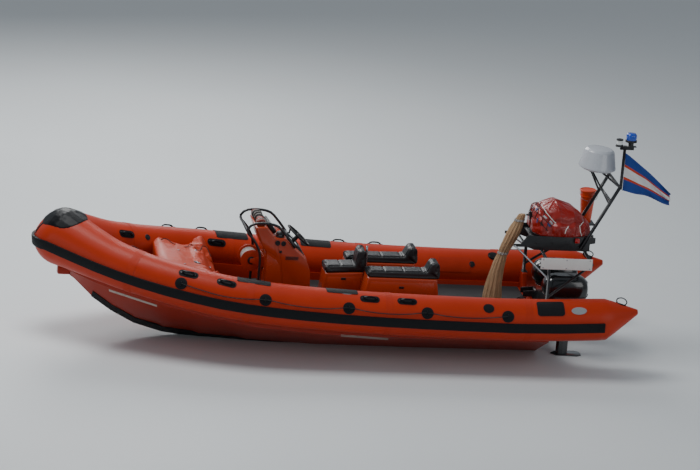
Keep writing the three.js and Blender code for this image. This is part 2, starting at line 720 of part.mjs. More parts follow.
function sideLight(s) {
  const y = TRAY.y + GAP;
  return box(-3060, -3000, s > 0 ? y : -y - 40, s > 0 ? y + 40 : -y, TUBE_Z + 790, TUBE_Z + 850);
}

const ROLLER = { half: 65, r: 22, x: TRAY.x0 - 90, z: TUBE_Z + 755, cheek: 10 };

function sternRoller() {
  const back = TRAY.x0 - GAP;
  const cheek = (y) => sideProfile([
    [back - 9, TUBE_Z + 700], [back - 9, TUBE_Z + 810],
    [back - 120, TUBE_Z + 790], [back - 120, TUBE_Z + 720],
  ], y, y + ROLLER.cheek);
  return join(
    box(back - 14, back, -80, 80, TUBE_Z + 690, TUBE_Z + 820),
    cheek(ROLLER.half - 5), cheek(-ROLLER.half - 5),
    bar(vec(ROLLER.x, -ROLLER.half, ROLLER.z), vec(ROLLER.x, ROLLER.half, ROLLER.z), ROLLER.r, 12));
}

const drogue = (() => {
  const rows = [
    { x: -2375, z: TUBE_Z + 1055, r: 45 },
    { x: -2330, z: TUBE_Z + 930, r: 86 },
    { x: -2255, z: TUBE_Z + 730, r: 92 },
    { x: -2165, z: TUBE_Z + 540, r: 68 },
    { x: -2105, z: TUBE_Z + 280, r: 92 },
    { x: -2085, z: TUBE_Z + 40, r: 120 },
    { x: -2080, z: SOLE + GAP, r: 135 },
  ];
  return skin(rows.map(({ x, z, r }) => Array.from({ length: 14 }, (_, i) => {
    const a = (2 * Math.PI * i) / 14;
    return vec(x + r * Math.cos(a), r * Math.sin(a), z);
  })));
})();

const CANISTER = { x: -3290, y: -470, z: TUBE_Z + 850, tall: 420 };
const canister = turned([
  [0, 0], [66, 0], [98, CANISTER.tall - 20], [104, CANISTER.tall - 20], [104, CANISTER.tall],
    [92, CANISTER.tall], [62, 12], [0, 12],
], 24).translate(CANISTER.x, CANISTER.y, CANISTER.z);

// Radar mast

const MAST = { y: TRAY.y + GAP + 22, r: 22 };
const MAST_FOOT = [-3085, TUBE_Z + 715];
const MAST_TOP = [-3505, TUBE_Z + 1525];
const BRACE_FOOT = [-3390, TUBE_Z + 1305];
const BRACE_R = { aft: 14, front: 12, across: 18 };
const POLE = { x: MAST_TOP[0] - 15, r: 19, top: TUBE_Z + 2062 };
const RADOME = { x: -3262, z: TUBE_Z + 1668, r: 235, top: 180, tall: 275, lean: 4.5 };
const RADOME_PAD = { half: 110, thick: 20 };
const HEAD = { x0: -3660, x1: -3400, half: 30, block: 45 }; // plate on the pole for the lights
const BLUE_LIGHT = { x: -3590, r: 72, up: 55, stem: 34 };

// Turned back by the angle at which the radar sits on its frame.
function leaning(geometry) {
  return geometry.rotateY(-THREE.MathUtils.degToRad(RADOME.lean)).translate(RADOME.x, 0, RADOME.z);
}

function mast() {
  const parts = [];
  [1, -1].forEach((s) => {
    const at = ([x, z]) => vec(x, s * MAST.y, z);
    parts.push(bar(at(MAST_FOOT), at(MAST_TOP), MAST.r, 10));
    const pad = (x) => vec(RADOME.x + x, s * 90, RADOME.z - RADOME_PAD.thick - 4);
    parts.push(bar(at(MAST_TOP), pad(-60), BRACE_R.aft, 8));
    parts.push(bar(at(BRACE_FOOT), pad(60), BRACE_R.front, 8));
  });
  const rung = (x, z) => bar(vec(x, -MAST.y, z), vec(x, MAST.y, z), BRACE_R.across, 10);
  const { half, thick } = RADOME_PAD;
  parts.push(rung(-3410, TUBE_Z + 1340), rung(...MAST_TOP));
  parts.push(leaning(box(-half, half, -half, half, -thick, -GAP)));
  parts.push(bar(vec(MAST_TOP[0] - 8, MAST.y, MAST_TOP[1] - 20), vec(POLE.x, MAST.y, POLE.top), POLE.r, 10));
  parts.push(box(HEAD.x0, HEAD.x1, MAST.y - HEAD.half, MAST.y + HEAD.half, POLE.top - 8, POLE.top));
  parts.push(box(HEAD.x0 + 30, POLE.x + 60, MAST.y - 22, MAST.y + 22, POLE.top - HEAD.block, POLE.top - 4));
  parts.push(bar(
    vec(BLUE_LIGHT.x, MAST.y, POLE.top - 4), vec(BLUE_LIGHT.x, MAST.y, POLE.top + BLUE_LIGHT.up),
    BLUE_LIGHT.stem, 14));
  parts.push(box(CANISTER.x - 100, CANISTER.x + 160, CANISTER.y - 90, -MAST.y, CANISTER.z - GAP - 10,
    CANISTER.z - GAP));
  return join(...parts);
}

const radome = leaning(turned([
  [0, 0], [200, 0], [208, 16], [RADOME.r, 20], [RADOME.r, 38], [RADOME.r - 5, 50],
  [RADOME.top + 8, RADOME.tall - 35], [RADOME.top - 20, RADOME.tall - 8], [RADOME.top - 80, RADOME.tall],
  [0, RADOME.tall + 4],
], 32));

const blueLight = turned([
  [0, 0], [BLUE_LIGHT.r, 0], [BLUE_LIGHT.r, 24], [64, 28], [67, 85], [52, 110], [0, 115],
], 20).translate(BLUE_LIGHT.x, MAST.y, POLE.top + BLUE_LIGHT.up + GAP);
const mastheadLight = turned([
  [0, 0], [44, 0], [44, 14], [30, 16], [30, 70], [44, 72], [44, 86], [0, 88],
], 18).translate(-3447, MAST.y, POLE.top + GAP);

// The flag: its hoist on the pole, its fly drooping aft. Drops of its top and bottom edges at the fly.
const FLAG = { tall: 480, fly: 620, thick: 6, x: -3537.9, z: TUBE_Z + 1490, topDrop: 500,
  lowDrop: 170 };

function flag() {
  const waves = 16;
  const rings = Array.from({ length: waves + 1 }, (_, i) => {
    const share = i / waves;
    const x = FLAG.x - FLAG.fly * share;
    const y = MAST.y + 55 * Math.sin(share * 9) * share ** 0.7 - 40 * share;
    const low = FLAG.z - FLAG.lowDrop * share ** 1.2;
    const top = FLAG.z + FLAG.tall - FLAG.topDrop * share ** 1.1;
    const half = FLAG.thick / 2;
    return [vec(x, y - half, low), vec(x, y + half, low), vec(x, y + half, top), vec(x, y - half, top)];
  });
  return skin(rings);
}

// Outboards. Shapes are about the tilt axis of an engine, which lies across the boat.

const ENGINE = { y: 330, tiltX: -2700, tiltZ: TUBE_Z - 30 };
const STEER_X = -110; // the steering axis, aft of the tilt axis
const PIN_R = 12;
const PROP_SHAFT_R = 11;

function clampBracket() {
  const face = TRANSOM_X - GAP - ENGINE.tiltX;
  const cheek = (y0, y1) => sideProfile([
    [face, -360], [face, -60], [face + 60 + TRANSOM_THICK, -58], [face + 60 + TRANSOM_THICK, 10],
      [20, 22], [-22, 22], [-26, -40], [0, -360],
  ], y0, y1);
  const plate = (s) => cut(cheek(s > 0 ? 78 : -94, s > 0 ? 94 : -78),
    box(face - 1, face + TRANSOM_THICK + 2 * GAP + 1, -200, 200, -400,
      TRANSOM_TOP - ENGINE.tiltZ + GAP));
  return join(
    plate(1), plate(-1), box(face - 16, face, -90, 90, -355, -250),
    bar(vec(0, -94, 0), vec(0, 94, 0), PIN_R, 16));
}

const swivelBracket = cut(
  join(
    turnedAlong(vec(0, -70, 0), vec(0, 70, 0), [[0, 0], [24, 0], [24, 140], [0, 140]], 16),
    box(-145, -12, -48, 48, -300, 0)),
  bar(vec(0, -80, 0), vec(0, 80, 0), PIN_R + 0.6, 16),
  bar(vec(STEER_X, 0, -320), vec(STEER_X, 0, 20), 17, 16),
  box(-12, 60, -60, 60, -310, -26));

function outboardLeg() {
  const plate = -615; // anti-ventilation plate, about level with the hull's bottom
  const gear = plate - 205;
  const section = (x0, x1, half, z0, z1) => {
    const points = [[x0, 0], [x0 - 25, half * 0.75], [(x0 + x1) / 2, half], [x1, 10]];
    const ring = [...points, ...points.slice(1).map(([x, y]) => [x, -y]).reverse()];
    return planProfile(ring, z0, z1);
  };
  const torpedo = turnedAlong(vec(STEER_X + 60, 0, gear), vec(STEER_X - 300, 0, gear),
    [[0, 0], [28, 18], [46, 70], [50, 160], [48, 290], [0, 290]], 18);
  const skeg = sideProfile([[STEER_X - 20, gear], [STEER_X - 200, gear], [STEER_X - 230, gear - 195],
    [STEER_X - 170, gear - 200]], -7, 7);
  return join(
    bar(vec(STEER_X, 0, -350), vec(STEER_X, 0, 60), 16, 16),
    box(-360, STEER_X + 30, -70, 70, 45, 89.7),
    box(-200, STEER_X + 26, -40, 40, -352, -312),
    section(STEER_X - 74, -330, 62, plate, 60),
    section(STEER_X - 10, -320, 42, gear, plate + 10),
    planProfile([[STEER_X - 20, 0], [STEER_X - 70, 80], [STEER_X - 330, 100], [STEER_X - 390, 60],
      [STEER_X - 390, -60], [STEER_X - 330, -100], [STEER_X - 70, -80]], plate - 8, plate + 8),
    bar(vec(STEER_X - 220, 0, gear), vec(STEER_X - 320, 0, gear), PROP_SHAFT_R, 12),
    torpedo, skeg);
}

const COWL_ROWS = [
  { z: 90, x0: 5, x1: -470, half: 140 },
  { z: 130, x0: 20, x1: -505, half: 165 },
  { z: 230, x0: 75, x1: -520, half: 172 },
  { z: 330, x0: 55, x1: -505, half: 160 },
  { z: 390, x0: 0, x1: -450, half: 125 },
  { z: 410, x0: -70, x1: -380, half: 80 },
];

const cowl = skin(COWL_ROWS.map(({ z, x0, x1, half }) => Array.from({ length: 20 }, (_, i) => {
  const a = (2 * Math.PI * i) / 20;
  const squareness = 0.6;
  const c = Math.sign(Math.cos(a)) * Math.abs(Math.cos(a)) ** squareness;
  const s = Math.sign(Math.sin(a)) * Math.abs(Math.sin(a)) ** squareness;
  return vec((x0 + x1) / 2 + ((x0 - x1) / 2) * c, half * s, z);
})));

const PROP = { x: STEER_X - 240, z: -820, r: 172, blades: 3 };

function propeller() {
  const hub = turnedAlong(vec(PROP.x, 0, PROP.z), vec(PROP.x - 100, 0, PROP.z),
    [[0, 6], [44, 6], [40, 95], [0, 110]], 18);
  const blade = (turn) => {
    const rows = [{ r: 30, half: 42, pitch: 60 }, { r: 100, half: 70, pitch: 34 },
      { r: 150, half: 55, pitch: 25 }, { r: PROP.r, half: 20, pitch: 22 }];
    const geometry = skin(rows.map(({ r, half, pitch }) => {
      const a = THREE.MathUtils.degToRad(pitch);
      const [dx, dy] = [Math.sin(a) * half, Math.cos(a) * half];
      const thick = 3.5;
      const [tx, ty] = [Math.cos(a) * thick, -Math.sin(a) * thick];
      return [[dx - tx, dy - ty], [dx + tx, dy + ty], [-dx + tx, -dy + ty], [-dx - tx, -dy - ty]]
        .map(([x, y]) => vec(x, y, r));
    }));
    return geometry.rotateX(turn).translate(PROP.x - 50, 0, PROP.z);
  };
  const blades = Array.from({ length: PROP.blades }, (_, i) => blade((2 * Math.PI * i) / PROP.blades));
  const bore = bar(vec(PROP.x + 10, 0, PROP.z), vec(PROP.x - 98, 0, PROP.z), PROP_SHAFT_R + 0.5, 12);
  return cut(join(hub, ...blades), bore);
}

// Colours and the scene graph

const ORANGE = { color: 0xd8481c, roughness: 0.45, metalness: 0 };
const BLACK = { color: 0x1a1c20, roughness: 0.6, metalness: 0 };
const RED = { color: 0xa02622, roughness: 0.35, metalness: 0 };
const WHITE = { color: 0xe8e8e6, roughness: 0.4, metalness: 0 };
const STEEL = { color: 0xb8bcc0, roughness: 0.3, metalness: 0.9 };
const TAN = { color: 0xa67a3c, roughness: 0.9, metalness: 0 };
const BLUE = { color: 0x1f5ac8, roughness: 0.2, metalness: 0 };
const GREEN = { color: 0x14a04a, roughness: 0.2, metalness: 0 };

const boat = new THREE.Group();

function add(name, geometry, finish, parent = boat) {
  const mesh = new THREE.Mesh(geometry, new THREE.MeshStandardMaterial(finish));
  mesh.name = name;
  parent.add(mesh);
  return mesh;
}

add('hull', hull, ORANGE);
add('deck', deck, BLACK);
add('transom', transom, ORANGE);
add('collar_port', collarPort, ORANGE);
add('collar_starboard', mirrored(collarPort), ORANGE);
add('collar_bow', collarBow, ORANGE);
add('bow_cap', bowCap(), BLACK);
add('rubbing_strake', strake(), BLACK);
add('keel_guard', keelGuard(), BLACK);
add('lifeline_port', lifeline(), BLACK);
add('lifeline_starboard', mirrored(lifeline()), BLACK);
add('bow_cover', bowCover(), ORANGE);
add('console', consoleBody, ORANGE);
add('console_rail', consoleRail(), BLACK);
add('instrument_hood', instrumentHood, BLACK);
add('rolled_cover', rolledCover, ORANGE);
add('steering_column', steeringColumn, BLACK);
add('steering_wheel', steeringWheel(), BLACK);
add('throttle_box', throttleBox(), BLACK);
add('reel_bracket', reelBracket(), STEEL);
add('reel_drum', reelDrum, ORANGE);
add('reel_line', reelLine, WHITE);
add('helm_pod', helmPod, ORANGE);
add('helm_cushion', helmCushion, BLACK);
add('crew_pod_port', crewPod(CREW.y, 0), ORANGE);
add('crew_pod_starboard', crewPod(-CREW.y, CREW.shift), ORANGE);
add('crew_cushion_port', crewCushion(CREW.y, 0), BLACK);
add('crew_cushion_starboard', crewCushion(-CREW.y, CREW.shift), BLACK);
add('grab_bar', grabBar, STEEL);
add('gantry', gantry(), BLACK);
add('bag_tray', bagTray(), BLACK);
add('righting_bag', rightingBag, RED);
add('strut_port', strut(1), STEEL);
add('strut_starboard', strut(-1), STEEL);
add('sign_plate', signPlate, WHITE);
add('port_light', sideLight(1), RED);
add('starboard_light', sideLight(-1), GREEN);
add('stern_roller', sternRoller(), BLACK);
add('drogue', drogue, TAN);
add('canister', canister, ORANGE);
add('mast', mast(), BLACK);
add('radome', radome, WHITE);
add('blue_light', blueLight, BLUE);
add('masthead_light', mastheadLight, BLACK);
add('flag', flag(), BLUE);

[['port', ENGINE.y], ['starboard', -ENGINE.y]].forEach(([side, y]) => {
  const engine = new THREE.Group();
  engine.position.set(ENGINE.tiltX, y, ENGINE.tiltZ);
  boat.add(engine);
  add(`clamp_bracket_${side}`, clampBracket(), BLACK, engine);
  add(`swivel_bracket_${side}`, swivelBracket, BLACK, engine);
  add(`outboard_leg_${side}`, outboardLeg(), BLACK, engine);
  add(`cowl_${side}`, cowl, BLACK, engine);
  add(`propeller_${side}`, propeller(), STEEL, engine);
});

export default boat;
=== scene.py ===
# Inshore rescue boat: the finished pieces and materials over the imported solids.
# Metres. +X is forward, +Y is port, +Z is up, and the running waterline is at zero.
import json
from math import atan2, cos, degrees, exp, hypot, radians, sin

import bmesh
import bpy
from mathutils import Matrix, Vector

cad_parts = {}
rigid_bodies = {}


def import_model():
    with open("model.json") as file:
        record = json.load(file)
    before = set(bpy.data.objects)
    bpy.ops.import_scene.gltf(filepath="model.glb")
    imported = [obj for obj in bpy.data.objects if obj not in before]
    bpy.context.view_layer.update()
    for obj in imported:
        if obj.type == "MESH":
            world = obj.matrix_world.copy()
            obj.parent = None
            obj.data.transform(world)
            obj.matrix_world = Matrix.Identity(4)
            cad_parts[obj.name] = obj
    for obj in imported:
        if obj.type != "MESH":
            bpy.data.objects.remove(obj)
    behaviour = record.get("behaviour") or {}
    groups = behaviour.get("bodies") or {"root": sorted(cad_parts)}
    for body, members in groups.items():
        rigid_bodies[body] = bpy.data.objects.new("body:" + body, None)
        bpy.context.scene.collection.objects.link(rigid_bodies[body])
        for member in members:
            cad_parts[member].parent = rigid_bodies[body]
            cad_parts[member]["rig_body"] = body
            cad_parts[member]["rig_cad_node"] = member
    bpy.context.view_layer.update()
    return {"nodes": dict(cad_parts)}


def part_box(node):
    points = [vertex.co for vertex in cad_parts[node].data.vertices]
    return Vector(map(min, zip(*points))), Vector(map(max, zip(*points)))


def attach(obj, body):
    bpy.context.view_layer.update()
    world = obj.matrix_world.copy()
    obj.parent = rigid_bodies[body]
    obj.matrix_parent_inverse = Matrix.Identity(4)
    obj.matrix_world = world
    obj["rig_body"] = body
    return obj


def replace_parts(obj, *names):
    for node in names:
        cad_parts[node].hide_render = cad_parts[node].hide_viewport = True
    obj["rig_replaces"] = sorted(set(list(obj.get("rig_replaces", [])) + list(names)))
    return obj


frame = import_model()
nodes = frame["nodes"]
FORE, PORT, UP = Vector((1, 0, 0)), Vector((0, 1, 0)), Vector((0, 0, 1))
HERE = Matrix.Identity(4)
NO_MOVE = Vector((0, 0, 0))
SIDES = {1: "port", -1: "starboard"}

# Camera, floor and light

VIEW_MIDDLE = Vector((0, 0, 0.65))
VIEW_RIGHT = Vector((-0.984, 0.1595, 0.0814))
VIEW_UP = Vector((0.034, -0.281, 0.959))
VIEW_CENTRE = VIEW_MIDDLE + 0.276 * VIEW_RIGHT + 0.667 * VIEW_UP
SIGHT_RIGHT = VIEW_RIGHT.normalized()
SIGHT_BACK = SIGHT_RIGHT.cross(VIEW_UP).normalized()
SIGHT_UP = SIGHT_BACK.cross(SIGHT_RIGHT)
VIEW_DISTANCE = 70
LENS_MM = 289.8
FLOOR_SIZE = 400
# Where the boat's middle lies in the picture, and pixels to a metre.
PICTURE_MIDDLE = (327.8, 288.7)
PICTURE_SCALE = 80.5
# How far off a line of sight starts, and the height from which a point is dropped on the foredeck.
SIGHT_FROM = 20
DROP_FROM = 1.6

# Soft boxes of the studio: place, the point each one faces, width and power in watts.
SOFT_BOXES = (((4, 0, 11), (0, 0, 0.6), 5, 760), ((-9, 9, 5), (-1, 0, 0.6), 6, 200),
              ((2, -11, 8), (0, 0, 0.8), 7, 820), ((11, 6, 3), (3, 0, 0.8), 4, 80))


def place_camera():
    bpy.ops.object.camera_add()
    camera = bpy.context.object
    camera.data.lens = LENS_MM
    turn = Matrix((SIGHT_RIGHT, SIGHT_UP, SIGHT_BACK)).transposed().to_4x4()
    camera.matrix_world = Matrix.Translation(VIEW_CENTRE + VIEW_DISTANCE * SIGHT_BACK) @ turn
    bpy.context.scene.camera = camera


place_camera()
for at, to, width, power in SOFT_BOXES:
    bpy.ops.object.light_add(type="AREA", location=at)
    lamp = bpy.context.object
    lamp.data.size = width
    lamp.data.energy = power
    lamp.rotation_euler = (Vector(to) - Vector(at)).to_track_quat("-Z", "Y").to_euler()

# Tools for surfaces


def paint(code):
    """Linear colour of a six digit screen colour."""
    parts = [int(code[i : i + 2], 16) / 255 for i in (0, 2, 4)]
    return tuple(c / 12.92 if c < 0.04045 else ((c + 0.055) / 1.055) ** 2.4 for c in parts) + (1,)


def filled(tree, node, inputs):
    """Sets or links a node's inputs, named as its sockets with underscores for spaces, or by i and their number."""
    for name, value in inputs.items():
        key = name.replace("_", " ")
        socket = node.inputs[int(key[1:])] if key[1:].isdigit() else node.inputs[key]
        if isinstance(value, bpy.types.NodeSocket):
            tree.links.new(value, socket)
        else:
            socket.default_value = value
    return node


def node_in(tree, kind, **inputs):
    return filled(tree, tree.nodes.new(kind), inputs)


def effect(tree, group, **inputs):
    node = tree.nodes.new("ShaderNodeGroup")
    node.node_tree = group
    return filled(tree, node, inputs).outputs


def maths(tree, operation, a, b, clamp=False):
    node = node_in(tree, "ShaderNodeMath", i0=a, i1=b)
    node.operation = operation
    node.use_clamp = clamp
    return node.outputs[0]


def plus(tree, a, b, clamp=False):
    return maths(tree, "ADD", a, b, clamp)


def times(tree, a, b, clamp=False):
    return maths(tree, "MULTIPLY", a, b, clamp)


def spread(tree, value, low, high, to_low=0.0, to_high=1.0):
    return node_in(tree, "ShaderNodeMapRange", Value=value, From_Min=low, From_Max=high, To_Min=to_low,
                   To_Max=to_high).outputs["Result"]


def noise(tree, at, **settings):
    return node_in(tree, "ShaderNodeTexNoise", Vector=at, **settings).outputs["Fac"]


def blended(tree, share, a, b):
    node = tree.nodes.new("ShaderNodeMix")
    node.data_type = "RGBA"
    return filled(tree, node, {"i0": share, "i6": a, "i7": b}).outputs[2]


def new_effect(name, given, made):
    """A node group with its input and output nodes. Its sockets are numbers but for coordinates and colours."""
    group = bpy.data.node_groups.new(name, "ShaderNodeTree")
    for labels, in_out in ((given, "INPUT"), (made, "OUTPUT")):
        for label in labels:
            kind = "Vector" if label == "Coordinates" else "Color" if "Colour" in label else "Float"
            group.interface.new_socket(name=label, in_out=in_out, socket_type=f"NodeSocket{kind}")
    return group, group.nodes.new("NodeGroupInput").outputs, group.nodes.new("NodeGroupOutput").inputs


ROUGHNESS_SPREAD = 0.2


def worn_surface_effect():
    """Clouded colour, scuffs of a second colour, uneven gloss and a fine grain."""
    group, given, result = new_effect(
        "worn_surface", ("Coordinates", "Colour", "Worn Colour", "Cloud Scale", "Cloud Amount", "Grain Scale", "Wear",
                         "Roughness"), ("Colour", "Roughness", "Height"))
    at = given["Coordinates"]
    clouds = noise(group, at, Scale=given["Cloud Scale"], Detail=6.0, Roughness=0.62)
    centred = maths(group, "SUBTRACT", clouds, 0.5)
    lift = times(group, centred, given["Cloud Amount"])
    tone = group.nodes.new("ShaderNodeVectorMath")
    tone.operation = "SCALE"
    filled(group, tone, {"i0": given["Colour"], "Scale": plus(group, plus(group, lift, 1.0), lift)})
    scuffs = noise(group, at, Scale=46.0, Detail=5.0, Roughness=0.7)
    edge = times(group, spread(group, clouds, 0.5, 0.66), spread(group, scuffs, 0.58, 0.7))
    edge = times(group, edge, given["Wear"], True)
    rough = plus(group, given["Roughness"], times(group, centred, ROUGHNESS_SPREAD))
    group.links.new(blended(group, edge, tone.outputs[0], given["Worn Colour"]), result["Colour"])
    group.links.new(plus(group, rough, times(group, edge, 0.12), True), result["Roughness"])
    group.links.new(noise(group, at, Scale=given["Grain Scale"], Detail=3.0), result["Height"])
    return group


def spray_stain_effect():
    """A mask of dried spray: strong near the water, thinning upwards in broken runs."""
    group, given, result = new_effect("spray_stain", ("Coordinates", "Top", "Amount"), ("Mask",))
    axes = node_in(group, "ShaderNodeSeparateXYZ", Vector=given["Coordinates"])
    low = spread(group, axes.outputs["Z"], given["Top"], 0.0)
    runs = node_in(group, "ShaderNodeMapping", Vector=given["Coordinates"], Scale=(9, 9, 1.6))
    streaks = noise(group, runs.outputs[0], Scale=1.0, Detail=7.0, Roughness=0.7)
    mask = times(group, low, spread(group, streaks, 0.45, 0.75))
    group.links.new(times(group, mask, given["Amount"], True), result["Mask"])
    return group


def weave_effect():
    """Crossed threads: a height, and a mask of the gaps between threads, where painted shade goes."""
    group, given, result = new_effect("woven_threads", ("Coordinates", "Threads"), ("Height", "Gap Shade"))
    threads = []
    for direction in ("X", "Y"):
        wave = node_in(group, "ShaderNodeTexWave", Vector=given["Coordinates"], Scale=given["Threads"])
        wave.bands_direction = direction
        threads.append(wave.outputs["Fac"])
    high = maths(group, "MAXIMUM", *threads)
    group.links.new(high, result["Height"])
    group.links.new(spread(group, high, 0.35, 0.0), result["Gap Shade"])
    return group


WORN_SURFACE = worn_surface_effect()
SPRAY_STAIN = spray_stain_effect()
WEAVE = weave_effect()

# Finishes: colour and worn colour, roughness, size per metre and strength of the colour's clouds, size and height
# of the grain, wear, coat and, where it isn't 0.5, specular.
FINISHES = {
    "collar_fabric": ("B13015", "C05A34", 0.42, 1.3, 0.16, 900, 0.0004, 0.2, 0.03, 0.2),
    "tape_fabric": ("AD2F15", "C8542C", 0.5, 3.0, 0.2, 900, 0.0006, 0.3, 0.0, 0.2),
    "hull_gelcoat": ("98240C", "A9583A", 0.34, 0.9, 0.14, 260, 0.0003, 0.4, 0.06, 0.25),
    "console_gelcoat": ("B03C18", "C8602E", 0.26, 2.0, 0.1, 300, 0.0003, 0.25, 0.3),
    "black_rubber": ("0D0F13", "282B30", 0.6, 2.5, 0.3, 700, 0.0009, 0.35, 0.0, 0.22),
    "gloss_rubber": ("0A0C11", "1B1E23", 0.3, 3.0, 0.08, 500, 0.0001, 0.05, 0.05, 0.2),
    "cap_rubber": ("090B10", "16191E", 0.42, 3.0, 0.1, 500, 0.0002, 0.1, 0.03, 0.16),
    "frame_paint": ("1D1F22", "7F8286", 0.36, 5.0, 0.3, 1300, 0.0005, 0.75, 0.1),
    "plastic_black": ("131417", "3A3B3E", 0.5, 6.0, 0.2, 1500, 0.0006, 0.35, 0.0),
    "cowl_paint": ("0E1013", "5A5D62", 0.18, 3.0, 0.3, 150, 0.0002, 0.35, 0.6),
    "vinyl_black": ("16171A", "3E3F43", 0.44, 6.0, 0.3, 620, 0.0012, 0.3, 0.0),
    "cover_fabric": ("B63A1A", "CC7454", 0.42, 5.0, 0.25, 500, 0.0012, 0.3, 0.05, 0.3),
    "roll_fabric": ("7A342C", "A8665C", 0.5, 8.0, 0.3, 500, 0.0014, 0.3, 0.0, 0.25),
    "bag_fabric": ("921409", "A8301F", 0.34, 3.0, 0.3, 40, 0.0010, 0.2, 0.17),
    "net_cord": ("24181A", "5A3A38", 0.8, 30.0, 0.4, 1400, 0.0008, 0.3, 0.0),
    "shell_white": ("BCC0C6", "E6E6E4", 0.28, 4.0, 0.06, 250, 0.0002, 0.2, 0.3),
    "sign_white": ("DEDEDA", "A9A9A4", 0.35, 7.0, 0.12, 350, 0.0002, 0.5, 0.1),
    "bucket_plastic": ("D04014", "EE9C76", 0.4, 6.0, 0.18, 320, 0.0006, 0.5, 0.0),
    # White strips on the hull, laid only where the picture shows white dashes along the chines.
    "chine_strip_white": ("B6ADA2", "8E8880", 0.3, 9.0, 0.16, 900, 0.0003, 0.3, 0.1),
    "patch_grey": ("8C8F92", "B6B8BA", 0.5, 8.0, 0.2, 900, 0.0004, 0.3, 0.0),
    "strap_blue": ("1D3A7A", "3F5C9C", 0.7, 20.0, 0.2, 1400, 0.0008, 0.3, 0.0),
    "label_grey": ("A8A8AC", "8C8C92", 0.7, 20.0, 0.2, 1400, 0.0006, 0.3, 0.0, 0.2),
    "strap_white": ("D9D8D2", "BDBBB4", 0.7, 20.0, 0.15, 1400, 0.0008, 0.2, 0.0),
    "display_glass": ("0B1016", "1A222C", 0.08, 3.0, 0.3, 100, 0.00005, 0.0, 0.8),
    "dial_face": ("E6E6E0", "D6D6D0", 0.3, 9.0, 0.05, 400, 0.0001, 0.0, 0.4),
    "red_lens": ("B00E10", "D8403C", 0.1, 9.0, 0.2, 300, 0.0003, 0.0, 0.7),
    "green_lens": ("0C7A33", "3FB069", 0.1, 9.0, 0.2, 300, 0.0003, 0.0, 0.7),
    "blue_lens": ("1348B8", "4A7AE0", 0.1, 9.0, 0.35, 120, 0.0012, 0.0, 0.7),
    "clear_lens": ("E8ECEA", "F2F4F2", 0.08, 9.0, 0.1, 160, 0.0012, 0.0, 0.7),
    "drum_orange": ("BC3608", "E59A70", 0.3, 4.0, 0.16, 300, 0.0004, 0.6, 0.2),
    "steel_brushed": ("B4B8BC", "E2E4E6", 0.28, 6.0, 0.14, 900, 0.0003, 0.4, 0.0),
    "propeller_steel": ("9AA0A4", "D8DADC", 0.22, 5.0, 0.2, 300, 0.0003, 0.5, 0.0),
    "deck_tread": ("1B1D1F", "3E4143", 0.75, 2.0, 0.35, 900, 0.0016, 0.4, 0.0),
    "canvas": ("B4936F", "B39C80", 0.85, 9.0, 0.3, 700, 0.0016, 0.2, 0.0),
    "rope_white": ("ADAAA6", "FFFFFF", 0.8, 16.0, 0.3, 1200, 0.002, 0.0, 0.0),
    "rope_black": ("1A1B1E", "FFFFFF", 0.8, 16.0, 0.3, 1200, 0.002, 0.0, 0.0),
    "flag_cloth": ("1C3F8F", "4A68AE", 0.75, 5.0, 0.2, 900, 0.0005, 0.2, 0.0),
    "studio_floor": ("DDE1E2", "E4E6E7", 0.55, 0.3, 0.03, 30, 0.0003, 0.0, 0.0),
}
METALS = ("steel_brushed", "propeller_steel")
# The flag's bands across it, each from where it starts.
FLAG_BANDS = ((0.30, "C8401E"), (0.37, "E2E3E2"), (0.63, "C8401E"), (0.70, "1C3F8F"))


